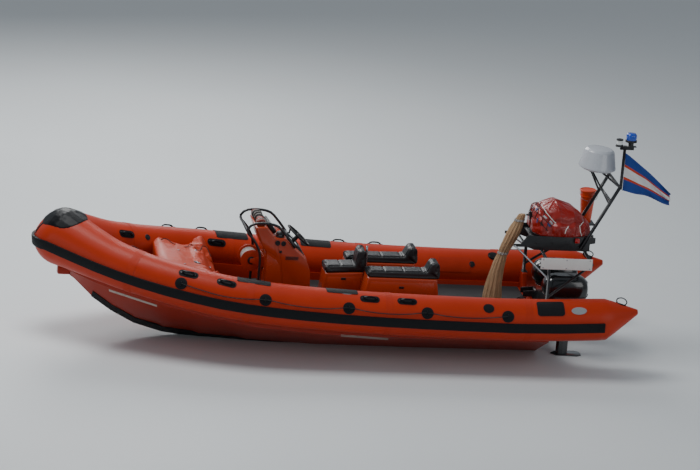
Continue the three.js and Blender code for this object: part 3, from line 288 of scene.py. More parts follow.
class Finish:
    """One material's nodes, ready for an effect of its own to be added between its surface and its shader."""

    def __init__(self, name, colour, worn, rough, clouds, amount, grain, depth, wear, coat, specular=0.5):
        self.material = bpy.data.materials.new(name)
        self.material.use_nodes = True
        self.tree = self.material.node_tree
        self.tree.nodes.clear()
        self.at = self.tree.nodes.new("ShaderNodeTexCoord").outputs["Object"]
        self.surface = effect(self.tree, WORN_SURFACE, Coordinates=self.at, Colour=paint(colour),
                              Worn_Colour=paint(worn), Cloud_Scale=clouds, Cloud_Amount=amount, Grain_Scale=grain,
                              Wear=wear, Roughness=rough)
        self.shader = node_in(self.tree, "ShaderNodeBsdfPrincipled", Metallic=1.0 if name in METALS else 0.0,
                              Coat_Weight=coat, Coat_Roughness=0.12, Specular_IOR_Level=specular)
        self.bump = node_in(self.tree, "ShaderNodeBump", Distance=depth)
        out = self.tree.nodes.new("ShaderNodeOutputMaterial")
        self.tree.links.new(self.shader.outputs[0], out.inputs["Surface"])
        self.tree.links.new(self.bump.outputs[0], self.shader.inputs["Normal"])
        self.colour(self.surface["Colour"])
        self.roughness(self.surface["Roughness"])
        self.height(self.surface["Height"])

    def colour(self, socket):
        self.tree.links.new(socket, self.shader.inputs["Base Color"])

    def roughness(self, socket):
        self.tree.links.new(socket, self.shader.inputs["Roughness"])

    def height(self, socket, grain=None):
        """The height of a pattern, with a share of the grain on it."""
        if grain is not None:
            socket = plus(self.tree, socket, times(self.tree, self.surface["Height"], grain))
        self.tree.links.new(socket, self.bump.inputs["Height"])

    def tinted(self, share, colour):
        """The surface's colour, turned to another where the share is high."""
        self.colour(blended(self.tree, share, self.surface["Colour"], colour))

    def stained(self, colour, top, amount):
        """Dried spray over the surface."""
        mask = effect(self.tree, SPRAY_STAIN, Coordinates=self.at, Top=top, Amount=amount)["Mask"]
        self.tinted(mask, paint(colour))
        self.roughness(plus(self.tree, self.surface["Roughness"], times(self.tree, mask, 0.25), True))

    def creased(self, scale, share):
        """Soft creases added to the grain's height."""
        warp = noise(self.tree, self.at, Scale=scale, Detail=3.0, Distortion=1.2)
        fold = maths(self.tree, "ABSOLUTE", maths(self.tree, "SUBTRACT", warp, 0.5), 0.0)
        ridge = spread(self.tree, fold, 0.0, 0.09, 1.0, 0.0)
        self.height(plus(self.tree, times(self.tree, ridge, share), self.surface["Height"]))

    def lozenges(self):
        """A field of small raised lozenges, the raised ones tinted a lighter grey."""
        turned = node_in(self.tree, "ShaderNodeMapping", Vector=self.at, Rotation=(0, 0, radians(45)))
        cells = node_in(self.tree, "ShaderNodeTexChecker", Vector=turned.outputs[0], Scale=55.0).outputs["Fac"]
        self.height(cells, 0.4)
        self.tinted(times(self.tree, cells, 0.3), paint("45484A"))

    def woven(self, threads):
        """Crossed threads, with painted shade in the gaps between them."""
        cloth = effect(self.tree, WEAVE, Coordinates=self.at, Threads=threads)
        self.height(cloth["Height"], 0.5)
        # Painted shade: the gaps between the threads are darkened towards black.
        self.tinted(times(self.tree, cloth["Gap Shade"], 0.45), (0.01, 0.008, 0.005, 1))

    def laid(self):
        """Twisted rope seen as slanting strands, with painted shade in the grooves between them."""
        wave = node_in(self.tree, "ShaderNodeTexWave", Vector=self.at, Scale=34.0, Distortion=0.6)
        wave.bands_direction = "Y"
        self.height(wave.outputs["Fac"], 0.4)
        # Painted shade: the grooves between the strands are darkened.
        self.tinted(spread(self.tree, wave.outputs["Fac"], 0.35, 0.0, 0.0, 0.6), (0.12, 0.1, 0.08, 1))

    def banded(self):
        """The flag's bands and threads, on the cloth's own map."""
        cloth = self.tree.nodes.new("ShaderNodeTexCoord").outputs["UV"]
        across = node_in(self.tree, "ShaderNodeSeparateXYZ", Vector=cloth).outputs["Y"]
        bands = self.surface["Colour"]
        for edge, colour in FLAG_BANDS:
            bands = blended(self.tree, maths(self.tree, "GREATER_THAN", across, edge), bands, paint(colour))
        self.colour(bands)
        self.height(effect(self.tree, WEAVE, Coordinates=cloth, Threads=130.0)["Height"])


finishes = {name: Finish(name, *values) for name, values in FINISHES.items()}
finishes["collar_fabric"].stained("8E4A34", 0.5, 0.2)
finishes["hull_gelcoat"].stained("7E4632", 0.6, 0.25)
finishes["black_rubber"].stained("4A4C4E", 0.7, 0.2)
finishes["bag_fabric"].creased(5.5, 3.0)
finishes["cover_fabric"].creased(3.0, 1.5)
finishes["deck_tread"].lozenges()
finishes["canvas"].woven(90.0)
finishes["rope_white"].laid()
finishes["rope_black"].laid()
finishes["flag_cloth"].banded()


def set_up_studio():
    bpy.ops.mesh.primitive_plane_add(size=FLOOR_SIZE)
    floor = bpy.context.object
    floor.name = "studio_floor"
    floor.data.materials.append(finishes["studio_floor"].material)
    world = bpy.data.worlds.new("studio")
    world.use_nodes = True
    filled(world.node_tree, world.node_tree.nodes["Background"], {"Color": (0.75, 0.82, 0.9, 1), "Strength": 0.33})
    bpy.context.scene.world = world


set_up_studio()

# Tools for modelling


def put_down():
    if bpy.context.mode != "OBJECT":
        bpy.ops.object.mode_set(mode="OBJECT")
    bpy.ops.object.select_all(action="DESELECT")


def take(piece):
    put_down()
    piece.select_set(True)
    bpy.context.view_layer.objects.active = piece
    return piece


def open_mesh(piece, mode="FACE"):
    take(piece)
    bpy.ops.object.mode_set(mode="EDIT")
    bpy.ops.mesh.select_mode(type=mode)


def pick_all():
    bpy.ops.mesh.select_all(action="SELECT")


def open_whole(piece, mode="FACE"):
    open_mesh(piece, mode)
    pick_all()


def pick_faces(piece, wanted):
    """In edit mode, selects the faces whose centre and normal pass the test."""
    shape = bmesh.from_edit_mesh(piece.data)
    for face in shape.faces:
        face.select_set(bool(wanted(face.calc_center_median(), face.normal)))
    bmesh.update_edit_mesh(piece.data)


def pick_edges(piece, wanted):
    """In edit mode, selects the edges whose middle and direction pass the test."""
    shape = bmesh.from_edit_mesh(piece.data)
    for part in (shape.faces, shape.edges, shape.verts):
        for item in part:
            item.select_set(False)
    for edge in shape.edges:
        a, b = (vertex.co for vertex in edge.verts)
        if wanted((a + b) / 2, (b - a).normalized()):
            edge.select_set(True)
    bmesh.update_edit_mesh(piece.data)


def refine(piece, kind, **settings):
    """Adds a modifier and applies it."""
    take(piece)
    modifier = piece.modifiers.new(kind.lower(), kind)
    for name, value in settings.items():
        setattr(modifier, name, value)
    bpy.ops.object.modifier_apply(modifier=modifier.name)
    return piece


def divided(piece, levels):
    return refine(piece, "SUBSURF", levels=levels, render_levels=levels)


def remeshed(piece, size, rounds):
    """A skin of even faces of one size over a form, smoothed some rounds."""
    refine(piece, "REMESH", mode="VOXEL", voxel_size=size)
    return smoothed(piece, rounds)


def smoothed(piece, rounds):
    return refine(piece, "SMOOTH", factor=0.5, iterations=rounds) if rounds else piece


def bevelled(piece, width, segments, angle=30):
    return refine(piece, "BEVEL", width=width, segments=segments, limit_method="ANGLE",
                  angle_limit=radians(angle))


def extrude(by):
    bpy.ops.mesh.extrude_region_move(TRANSFORM_OT_translate={"value": by})


def puffed(piece, by):
    """Every point moved out along its normal."""
    open_whole(piece)
    bpy.ops.transform.shrink_fatten(value=by)
    put_down()
    return piece


def merge_flats():
    """In edit mode, makes one face of the picked ones that lie in a plane."""
    bpy.ops.mesh.dissolve_limited(angle_limit=radians(1.5))


def whole_flats(piece):
    open_whole(piece)
    merge_flats()
    put_down()
    return piece


def face_out(piece):
    open_whole(piece)
    bpy.ops.mesh.normals_make_consistent(inside=False)
    put_down()


def fixed(piece):
    """A piece with its place, turn and size set into its mesh."""
    take(piece)
    bpy.ops.object.transform_apply(location=True, rotation=True, scale=True)
    return piece


def joined(pieces):
    take(pieces[0])
    for piece in pieces[1:]:
        piece.select_set(True)
    bpy.ops.object.join()
    return pieces[0]


def settle(piece, name, skin, body="root", replaces=(), angle=40):
    """Joins the parts of a piece, names and finishes it, and sets it on its body."""
    piece = fixed(joined(piece) if isinstance(piece, list) else piece)
    bpy.ops.object.shade_smooth_by_angle(angle=radians(angle))
    piece.name = name
    piece.data.materials.clear()
    piece.data.materials.append(finishes[skin].material)
    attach(piece, body)
    if replaces:
        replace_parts(piece, *replaces)
    return piece


def copied(piece, place):
    twin = piece.copy()
    twin.data = piece.data.copy()
    bpy.context.scene.collection.objects.link(twin)
    twin.matrix_world = place
    return twin


def freed(source):
    """A copy of a piece or solid that belongs to nothing yet."""
    piece = copied(source, HERE)
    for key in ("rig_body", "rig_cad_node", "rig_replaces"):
        if key in piece:
            del piece[key]
    piece.parent = None
    piece.matrix_world = HERE
    piece.hide_render = False
    piece.hide_viewport = False
    return piece


def from_solid(node):
    """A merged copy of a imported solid, with its triangles paired into quads."""
    piece = freed(nodes[node])
    open_whole(piece)
    bpy.ops.mesh.remove_doubles(threshold=0.00005)
    bpy.ops.mesh.tris_convert_to_quads(face_threshold=0.35, shape_threshold=0.7)
    put_down()
    return piece


def drop(*pieces):
    for piece in pieces:
        bpy.data.objects.remove(piece)


def scattered(parts, places, name, skin, angle=40):
    """Copies of small parts at every place, as one piece."""
    copies = [copied(part, place) for place in places for part in parts]
    drop(*parts)
    settle(copies, name, skin, angle=angle)


def frame_at(origin, along, normal):
    """A place with its X along one direction and its Z along the normal."""
    z = Vector(normal).normalized()
    x = (Vector(along) - z * Vector(along).dot(z)).normalized()
    y = z.cross(x)
    return Matrix.Translation(origin) @ Matrix((x, y, z)).transposed().to_4x4()


def tube_through(points, radius, sides=3):
    """A smooth round tube through points, as a closed mesh."""
    put_down()
    bpy.ops.curve.primitive_bezier_curve_add()
    curve = bpy.context.object
    spline = curve.data.splines[0]
    spline.bezier_points.add(len(points) - 2)
    for knot, point in zip(spline.bezier_points, points):
        knot.co = point
        knot.handle_left_type = knot.handle_right_type = "AUTO"
    curve.data.bevel_depth = radius
    curve.data.bevel_resolution = sides
    curve.data.resolution_u = 8
    curve.data.use_fill_caps = True
    take(curve)
    bpy.ops.object.convert(target="MESH")
    tube = bpy.context.object
    face_out(tube)
    return tube


def rounded_box(low, high, bevel):
    """A box between two corners with its edges rounded."""
    put_down()
    size = Vector(high) - Vector(low)
    bpy.ops.mesh.primitive_cube_add(size=1, location=(Vector(low) + Vector(high)) / 2, scale=size)
    return bevelled(fixed(bpy.context.object), bevel, 3)


def turned_part(rings, sides=32, place=HERE):
    """A round part: rings of (radius, height) from its foot up, grown from a disc by extrusion."""
    put_down()
    bpy.ops.mesh.primitive_circle_add(vertices=sides, radius=rings[0][0], fill_type="NGON")
    part = bpy.context.object
    open_whole(part)
    bpy.ops.transform.translate(value=(0, 0, rings[0][1]))
    for (r0, z0), (r1, z1) in zip(rings, rings[1:]):
        extrude((0, 0, z1 - z0))
        share = r1 / r0
        bpy.ops.transform.resize(value=(share, share, 1), center_override=(0, 0, z1))
    pick_all()
    bpy.ops.mesh.normals_make_consistent(inside=False)
    put_down()
    part.matrix_world = place
    return part


def plate(points, low, high, bevel, axis="Y"):
    """A flat plate: its outline's corners, the planes of its two faces, and the width of its rounded edges.
    The outline is given forward and up for a plate that faces sideways, or as it lies in its own plane."""
    put_down()
    bpy.ops.mesh.primitive_circle_add(vertices=len(points), radius=1, fill_type="NGON")
    board = bpy.context.object
    for vertex, (a, b) in zip(board.data.vertices, points):
        vertex.co = Vector((a, low, b)) if axis == "Y" else Vector((a, b, low))
    open_whole(board)
    extrude((0, high - low, 0) if axis == "Y" else (0, 0, high - low))
    put_down()
    face_out(board)
    return bevelled(board, bevel, 2, 25)


def new_grid(along, across):
    put_down()
    bpy.ops.mesh.primitive_grid_add(x_subdivisions=along, y_subdivisions=across, size=1)
    return bpy.context.object


def shaped(piece, move):
    """Moves each vertex by what the function gives for its place and normal."""
    open_mesh(piece, "VERT")
    shape = bmesh.from_edit_mesh(piece.data)
    shape.normal_update()
    moves = [move(vertex.co, vertex.normal) for vertex in shape.verts]
    for vertex, step in zip(shape.verts, moves):
        vertex.co += step
    bmesh.update_edit_mesh(piece.data)
    put_down()
    return piece


def flip(piece):
    open_whole(piece)
    bpy.ops.mesh.flip_normals()
    put_down()
    return piece


def mirrored(piece):
    """A copy on the other side of the boat's middle plane."""
    return flip(fixed(copied(piece, Matrix.Scale(-1, 4, PORT))))


def with_mirrored(pieces):
    return pieces + [mirrored(piece) for piece in pieces]


def level_band(source, low, height, lift, thick):
    """What is left of a copy of a skin between two levels, lifted off it and thickened."""
    piece = freed(source)
    open_mesh(piece)
    for level, way in ((low, UP), (low + height, -UP)):
        pick_all()
        bpy.ops.mesh.bisect(plane_co=UP * level, plane_no=way, clear_inner=True)
    pick_all()
    bpy.ops.transform.shrink_fatten(value=lift)
    put_down()
    return refine(piece, "SOLIDIFY", thickness=thick, offset=1)


def seen_on(shell, across, rise):
    """Where a line of sight meets a shell, by its place in the picture in metres from the boat's middle."""
    start = VIEW_MIDDLE + across * SIGHT_RIGHT + rise * SIGHT_UP + SIGHT_FROM * SIGHT_BACK
    hit, place, normal, _ = shell.ray_cast(start, -SIGHT_BACK)
    return (place, normal) if hit else (None, None)


def in_picture(u, v):
    """Metres across and up the picture from the boat's middle, from a place in it."""
    return (u - PICTURE_MIDDLE[0]) / PICTURE_SCALE, (PICTURE_MIDDLE[1] - v) / PICTURE_SCALE


def above(shell, x, y):
    """The place on top of a shell straight over a point of the deck, and its way up."""
    hit, place, normal, _ = shell.ray_cast(Vector((x, y, DROP_FROM)), -UP)
    return (place, normal) if hit else (None, None)


# The collar's centre line to port: forward, to port, up.
COLLAR = (
    (-3.30, 1.075, 0.69), (-2.40, 1.075, 0.65), (-1.40, 1.075, 0.655), (-0.50, 1.075, 0.675), (0.30, 1.075, 0.71),
    (0.91, 1.068, 0.755), (1.40, 1.005, 0.80), (1.90, 0.860, 0.865), (2.40, 0.650, 0.945), (2.80, 0.430, 1.035),
    (3.11, 0.205, 1.13), (3.36, 0.0, 1.21),
)
TUBE_RADIUS = 0.26
# Stations where the bow section begins, and where the side tubes' cones and their tips do.
BOW_FROM = 2.49
CONE_FROM = -3.3
TIP_FROM = -3.6


def to_side(vector, side):
    return Vector((vector.x, vector.y * side, vector.z))


def collar_line(x, side):
    """The collar's centre and direction at a station."""
    for a, b in zip(COLLAR, COLLAR[1:]):
        if x <= b[0] or b is COLLAR[-1]:
            centre = Vector(a).lerp(Vector(b), (x - a[0]) / (b[0] - a[0]))
            return to_side(centre, side), to_side((Vector(b) - Vector(a)).normalized(), side)
    return None


def shell_at(x, side):
    return collar_bow if x > BOW_FROM else SHELLS[side]


def on_collar(x, angle, side):
    """A place on the collar's skin: angle 0 is outboard, 90 is the top, 180 is inboard."""
    centre, along = collar_line(x, side)
    out = UP.cross(along).normalized() * side
    up = along.cross(out).normalized() * side
    ray = out * cos(radians(angle)) + up * sin(radians(angle))
    hit, place, normal, _ = shell_at(x, side).ray_cast(centre + ray * 0.9, -ray)
    if not hit:
        place, normal = centre + ray * TUBE_RADIUS, ray
    return frame_at(place, along, normal)


# Collar: a smooth skin over each packed section, with seam tapes

SKIN_LIFT = 0.0034
SEAM = Vector((2.5, 0.605, 0.963))
SEAM_WAY = Vector((0.856, -0.476, 0.2)).normalized()
SEAM_OVERLAP = 0.08
# An edge belongs to a ring round a tube when its middle is this near and it runs this little along the tube.
RING_NEAR, RING_TURN = 0.02, 0.2
CONE_CREASE, SEAM_CREASE = 0.55, 1.0
# The bow section's ends lie abaft of the first station before it is rounded, and of the second after.
BOW_ENDS_BY, BOW_TRIM_BY = 2.6, 2.9
BOW_LIFT = SKIN_LIFT + 0.001
BOW_CELL = 0.016
SEAM_X = (2.5, 1.16, -0.55, -2.3)
TAPE = {"width": 0.085, "lift": 0.0022, "thick": 0.0016, "from": -70, "to": 205}


def smooth_side_tube(side):
    """A side tube, rounded but for the edges of its cone and its seam."""
    node = f"collar_{SIDES[side]}"
    tube = from_solid(node)
    open_mesh(tube, "EDGE")
    pick_edges(tube, lambda at, run: at.x < TIP_FROM or abs(at.x - CONE_FROM) < RING_NEAR and abs(run.x) < RING_TURN)
    bpy.ops.transform.edge_crease(value=CONE_CREASE)
    way, middle = to_side(SEAM_WAY, side), to_side(SEAM, side)
    pick_edges(tube, lambda at, run: abs((at - middle).dot(way)) < RING_NEAR and abs(run.dot(way)) < RING_TURN)
    bpy.ops.transform.edge_crease(value=SEAM_CREASE)
    put_down()
    puffed(divided(tube, 2), SKIN_LIFT)
    return settle(tube, f"collar_skin_{SIDES[side]}", "collar_fabric", replaces=(node,), angle=32)


def smooth_bow_tube():
    """The bow section, run back a little at both seams, rounded, and then trimmed at the seams again."""
    tube = from_solid("collar_bow")
    for side in SIDES:
        way = to_side(SEAM_WAY, side)
        open_mesh(tube)
        pick_faces(tube, lambda at, normal: normal.dot(way) < -0.97 and at.x < BOW_ENDS_BY and at.y * side > 0)
        extrude(way * -SEAM_OVERLAP)
        put_down()
    remeshed(tube, BOW_CELL, 30)
    open_whole(tube)
    bpy.ops.transform.shrink_fatten(value=BOW_LIFT)
    for side in SIDES:
        pick_faces(tube, lambda at, normal: at.y * side > 0 and at.x < BOW_TRIM_BY)
        bpy.ops.mesh.bisect(plane_co=to_side(SEAM, side), plane_no=to_side(SEAM_WAY, side), clear_inner=True,
                            use_fill=True)
    put_down()
    return settle(tube, "collar_skin_bow", "collar_fabric", replaces=("collar_bow",), angle=60)


SHELLS = {side: smooth_side_tube(side) for side in SIDES}
collar_bow = smooth_bow_tube()


def wrapped_tape(x, side):
    """A tape round the tube: a grid laid on the collar's skin, given its thickness."""

    def lay(at, normal):
        angle = TAPE["from"] + (at.y + 0.5) * (TAPE["to"] - TAPE["from"])
        return on_collar(x + at.x * TAPE["width"], angle, side) @ (UP * TAPE["lift"]) - at

    tape = shaped(new_grid(6, 64), lay)
    if side > 0:
        flip(tape)
    return refine(tape, "SOLIDIFY", thickness=TAPE["thick"], offset=1)


tapes = [wrapped_tape(x, side) for side in SIDES for x in SEAM_X]
face_out(settle(tapes, "seam_tapes", "tape_fabric", angle=50))

# What is stuck on the collar

DISC_RINGS = 5
PATCH_CELLS = (0.03, 0.02)
STUCK_LIFT = 0.0006


def flat_patch(length, width, corner=1.0):
    """A flat patch of small faces, from a round disc (corner 1) to a rectangle with rounded corners."""
    put_down()
    if corner >= 1:
        bpy.ops.mesh.primitive_circle_add(vertices=36, radius=0.5, fill_type="NGON")
        patch = bpy.context.object
        open_whole(patch)
        for _ in range(DISC_RINGS):
            bpy.ops.mesh.inset(thickness=0.42 / DISC_RINGS)
        pick_all()
        bpy.ops.transform.resize(value=(length, width, 1), center_override=(0, 0, 0))
        put_down()
        return patch
    bpy.ops.mesh.primitive_plane_add(size=1)
    patch = bpy.context.object
    patch.scale = (length, width, 1)
    open_whole(fixed(patch), "VERT")
    bpy.ops.mesh.bevel(offset=min(length, width) * 0.5 * corner, segments=6, affect="VERTICES")
    for span, cell, way in ((length, PATCH_CELLS[0], FORE), (width, PATCH_CELLS[1], PORT)):
        cells = max(2, round(span / cell))
        for i in range(1, cells):
            pick_all()
            bpy.ops.mesh.bisect(plane_co=way * (span * (i / cells - 0.5)), plane_no=way)
    put_down()
    return patch


def stuck_on(patch, place, shell, thick, lift=STUCK_LIFT):
    """A copy of a patch, wrapped on a skin and given its thickness."""
    copy = copied(patch, place)
    refine(copy, "SHRINKWRAP", target=shell, wrap_method="NEAREST_SURFACEPOINT", wrap_mode="ABOVE_SURFACE",
           offset=lift)
    return refine(copy, "SOLIDIFY", thickness=thick, offset=1)


def stuck_at(patch, x, angle, side, thick, lift=STUCK_LIFT):
    return stuck_on(patch, on_collar(x, angle, side), shell_at(x, side), thick, lift)


HANDLE_SPOTS = ((1.90, 56), (1.445, 56), (-0.30, 56), (-0.77, 56), (2.64, 140), (1.35, 140))
HANDLES = [(x, angle, side) for x, angle in HANDLE_SPOTS for side in SIDES]
VALVES = ((2.33, 142), (-1.97, 150))
# Patches on both tubes: length, width, corner, thickness, station and angle.
PATCHES = {
    ("tread_pads", "black_rubber"): ((0.415, 0.26, 0.2, 0.004, 1.1325, 96), (0.39, 0.26, 0.2, 0.004, 0.035, 96)),
    ("inner_patches", "tape_fabric"): ((0.41, 0.2, 0.2, 0.006, -1.745, 152),),
    ("chafe_patches", "black_rubber"): ((0.34, 0.23, 0.35, 0.005, -2.58, 52), (0.135, 0.125, 1, 0.005, -1.79, 46)),
    ("grey_patches", "patch_grey"): ((0.19, 0.10, 1, 0.004, -2.93, 42), (0.19, 0.10, 1, 0.003, -0.02, 78)),
}


def carry_handles():
    base = flat_patch(0.245, 0.1, 0.97)
    loop = tube_through([(-0.078, 0, 0.002), (-0.064, 0, 0.026), (0, 0, 0.040), (0.064, 0, 0.026), (0.078, 0, 0.002)],
                        0.009)
    open_whole(loop)
    bpy.ops.transform.resize(value=(1, 1.7, 1), center_override=(0, 0, 0))
    put_down()
    boss = turned_part([(0.026, -0.002), (0.026, 0.004), (0.022, 0.010), (0.012, 0.013)], 24)
    patches, loops = [], []
    for x, angle, side in HANDLES:
        place = on_collar(x, angle, side)
        patches.append(stuck_at(base, x, angle, side, 0.004))
        loops.append(copied(loop, place))
        loops += [copied(boss, place @ Matrix.Translation((end, 0, 0.003))) for end in (-0.082, 0.082)]
    drop(base, loop, boss)
    settle(patches, "handle_patches", "black_rubber", angle=32)
    settle(loops, "handle_loops", "gloss_rubber", angle=32)


def air_valves():
    valve = turned_part([(0.0375, -0.004), (0.0375, 0.004), (0.035, 0.007), (0.026, 0.0075), (0.025, 0.004),
                         (0.020, 0.004), (0.019, 0.009), (0.012, 0.010)])
    places = [on_collar(x, angle, side) for x, angle in VALVES for side in SIDES]
    scattered([valve], places, "air_valves", "plastic_black", 32)


carry_handles()
air_valves()
for (patch_name, patch_skin), facts in PATCHES.items():
    copies = []
    for length, width, corner, thick, x, angle in facts:
        patch = flat_patch(length, width, corner)
        copies += [stuck_at(patch, x, angle, side, thick) for side in SIDES]
        drop(patch)
    settle(copies, patch_name, patch_skin, angle=32)

# Solids that are finished as they are modelled: their material, the width of their rounded edges, and the
# angle up to which they are smooth.
PLAIN = {
    "hull": ("hull_gelcoat", 0, 24), "deck": ("deck_tread", 0, 30), "transom": ("hull_gelcoat", 0.006, 30),
    "rubbing_strake": ("black_rubber", 0, 35), "keel_guard": ("black_rubber", 0, 35),
    "console_rail": ("frame_paint", 0, 50), "instrument_hood": ("plastic_black", 0.012, 35),
    "steering_column": ("plastic_black", 0.002, 40), "steering_wheel": ("plastic_black", 0, 50),
    "throttle_box": ("plastic_black", 0.003, 45), "reel_bracket": ("drum_orange", 0.0015, 40),
    "reel_drum": ("drum_orange", 0.003, 40), "reel_line": ("rope_white", 0, 40),
    "helm_pod": ("console_gelcoat", 0.018, 40), "crew_pod_port": ("console_gelcoat", 0.018, 40),
    "crew_pod_starboard": ("console_gelcoat", 0.018, 40), "grab_bar": ("steel_brushed", 0, 50),
    "gantry": ("frame_paint", 0, 50), "bag_tray": ("frame_paint", 0.002, 40), "strut_port": ("steel_brushed", 0, 50),
    "strut_starboard": ("steel_brushed", 0, 50), "sign_plate": ("sign_white", 0.0015, 40),
    "port_light": ("red_lens", 0.008, 40), "starboard_light": ("green_lens", 0.008, 40),
    "stern_roller": ("frame_paint", 0.002, 45), "canister": ("bucket_plastic", 0.002, 40),
    "mast": ("frame_paint", 0, 50), "radome": ("shell_white", 0.006, 40),
    "masthead_light": ("plastic_black", 0.002, 40),
}
ENGINE_PLAIN = {
    "clamp_bracket": ("frame_paint", 0.003, 40, "root"), "swivel_bracket": ("frame_paint", 0.003, 40, "tilt"),
    "outboard_leg": ("cowl_paint", 0.003, 45, "engine"), "propeller": ("propeller_steel", 0.001, 50, "propeller"),
}
BODIES = {"steering_wheel": "steering_wheel", "reel_drum": "reel", "reel_line": "reel"}


def finished(node, skin, edge, angle, body="root"):
    """The solid's own shape, its flats whole and its edges rounded."""
    piece = from_solid(node)
    if edge:
        bevelled(whole_flats(piece), edge, 3, 28)
    return settle(piece, f"{node}_finished", skin, body, (node,), angle)


# The moulded cap over the bow, smooth over the tube beneath it.
settle(puffed(remeshed(from_solid("bow_cap"), 0.006, 24), 0.0015), "nose_cap", "cap_rubber", replaces=("bow_cap",),
       angle=60)
for node_name, looks in PLAIN.items():
    finished(node_name, *looks, BODIES.get(node_name, "root"))
for node_name, (*looks, body_name) in ENGINE_PLAIN.items():
    for side_name in SIDES.values():
        finished(f"{node_name}_{side_name}", *looks, body_name if body_name == "root" else f"{body_name}_{side_name}")

# Soft pieces

CLOTH_FRAMES = 20


def swollen(piece, voxel, pressure, slack, cap, held):
    """A remeshed form filled like a stuffed cloth skin. Slack is extra cloth, which creases; cap is the furthest
    that a point may move; what is held stays put."""
    remeshed(piece, voxel, 3)
    start = [v.co.copy() for v in piece.data.vertices]
    take(piece)
    group = piece.vertex_groups.new(name="held")
    group.add([v.index for v in piece.data.vertices if held(v.co)], 1.0, "REPLACE")
    cloth = piece.modifiers.new("cloth", "CLOTH")
    cloth.settings.quality = 4
    cloth.settings.use_pressure = True
    cloth.settings.uniform_pressure_force = pressure
    cloth.settings.shrink_min = -slack
    cloth.settings.vertex_group_mass = "held"
    cloth.settings.effector_weights.gravity = 0
    cloth.collision_settings.use_collision = False
    for frame_number in range(1, CLOTH_FRAMES + 1):
        bpy.context.scene.frame_set(frame_number)
    bpy.ops.object.modifier_apply(modifier=cloth.name)
    bpy.context.scene.frame_set(1)
    for vertex, at in zip(piece.data.vertices, start):
        move = vertex.co - at
        if move.length > cap:
            vertex.co = at + move * (cap / move.length)
    piece.vertex_groups.clear()
    return piece


def groove(distance, width):
    return exp(-((distance / width) ** 2))


# Cushions: the stations of their cross seams, and half their width.
CUSHIONS = {
    "helm_cushion": ((-0.12, -0.29), 0.16),
    "crew_cushion_port": ((-0.62, -0.86, -1.10), 0.14),
    "crew_cushion_starboard": ((-0.45, -0.69, -0.93), 0.14),
}
CUSHION_EDGE = 0.022
STITCH_DEPTH = 0.009
STITCH_WIDTH = 0.010


def sewn_cushion(node, seams, half):
    """A stuffed seat: swollen vinyl with sewn channels across it and a welt near each side."""
    cushion = from_solid(node)
    bottom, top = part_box(node)
    open_whole(cushion)
    merge_flats()
    bpy.ops.mesh.bevel(offset=CUSHION_EDGE, segments=3, affect="EDGES")
    put_down()
    face_out(cushion)
    swollen(cushion, voxel=0.006, pressure=4.0, slack=0.0, cap=0.012, held=lambda at: at.z < bottom.z + 0.012)
    middle = (bottom.y + top.y) / 2
    welt = half - 0.034

    def stitch(at, normal):
        if normal.z < 0.25 and normal.x < 0.4:
            return NO_MOVE
        depth = sum(groove(at.x - x, STITCH_WIDTH) for x in seams if abs(at.y - middle) < welt)
        depth += groove(abs(at.y - middle) - welt, STITCH_WIDTH * 0.7)
        return normal * (-STITCH_DEPTH * min(depth, 1.0))

    divided(shaped(cushion, stitch), 1)
    settle(cushion, f"{node}_sewn", "vinyl_black", replaces=(node,), angle=70)


for cushion_name, cushion_facts in CUSHIONS.items():
    sewn_cushion(cushion_name, *cushion_facts)


BAG_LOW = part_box("righting_bag")[0].z + 0.014
# The fold between the bag's two lumps, as heights and places along the boat, and what shapes the rest.
BAG_PARTING = ((1.60, -2.69), (1.71, -2.70), (1.87, -2.58))
PARTING_DEPTH, PARTING_WIDTH = 0.026, 0.020
BAG_WAIST = {"height": 1.69, "wave": 0.012, "deep": 0.034, "wide": 0.02}
BAG_FOOT = {"below": 0.085, "swell": 0.018, "wide": 0.05}
FORWARD_LUMPS = 0.012
# Where the bag is pressed down from, and by what share.
BAG_TOP = 1.72
BAG_PRESSED = 0.13
# Where its folds meet, forward and to port, the height from which they show, and their bearings.
BAG_PEAK = (-2.76, 0.04)
FOLDS_FROM = 1.66
BAG_FOLDS = (14, 58, 97, 128, 172, 214, 262, 318)
# A fold's height, its half width at the peak and how it widens outward, and its reach, in three lengths.
FOLD = {"high": 0.016, "sunk": 0.004, "narrow": 0.008, "widens": 0.03, "reach": 0.26, "step": 0.05}
# The net, the lines and the labels, by places in the picture.
NET_LINES = (((529.5, 205.0), (551.5, 226.5)), ((533.0, 201.5), (553.5, 220.5)), ((529.5, 211.5), (547.5, 231.0)),
             ((535.5, 200.5), (530.0, 213.0)), ((541.0, 203.0), (534.5, 219.5)), ((545.5, 209.0), (540.0, 226.0)),
             ((550.0, 215.0), (545.5, 231.0)))
BAG_LINES = (((542.2, 206.1), (546.6, 213.3), (551.0, 218.8), (555.9, 223.2)), ((583.4, 222.1), (579.5, 226.5),
             (580.1, 231.4), (581.5, 235.8)), ((568.3, 226.5), (565.8, 229.8), (564.7, 233.6)))
BAG_LABELS = {"label_grey": ((533.9, 206.7), (550.9, 222.6), (544.9, 217.2)),
              "net_cord": ((531.2, 209.6), (541.5, 224.0)),
              "strap_blue": ((548.6, 224.9), (537.2, 220.4), (536.9, 209.2))}


def parting_at(z):
    for (low, a), (high, b) in zip(BAG_PARTING, BAG_PARTING[1:]):
        if z <= high:
            return a + (b - a) * max(0.0, z - low) / (high - low)
    return BAG_PARTING[-1][1]


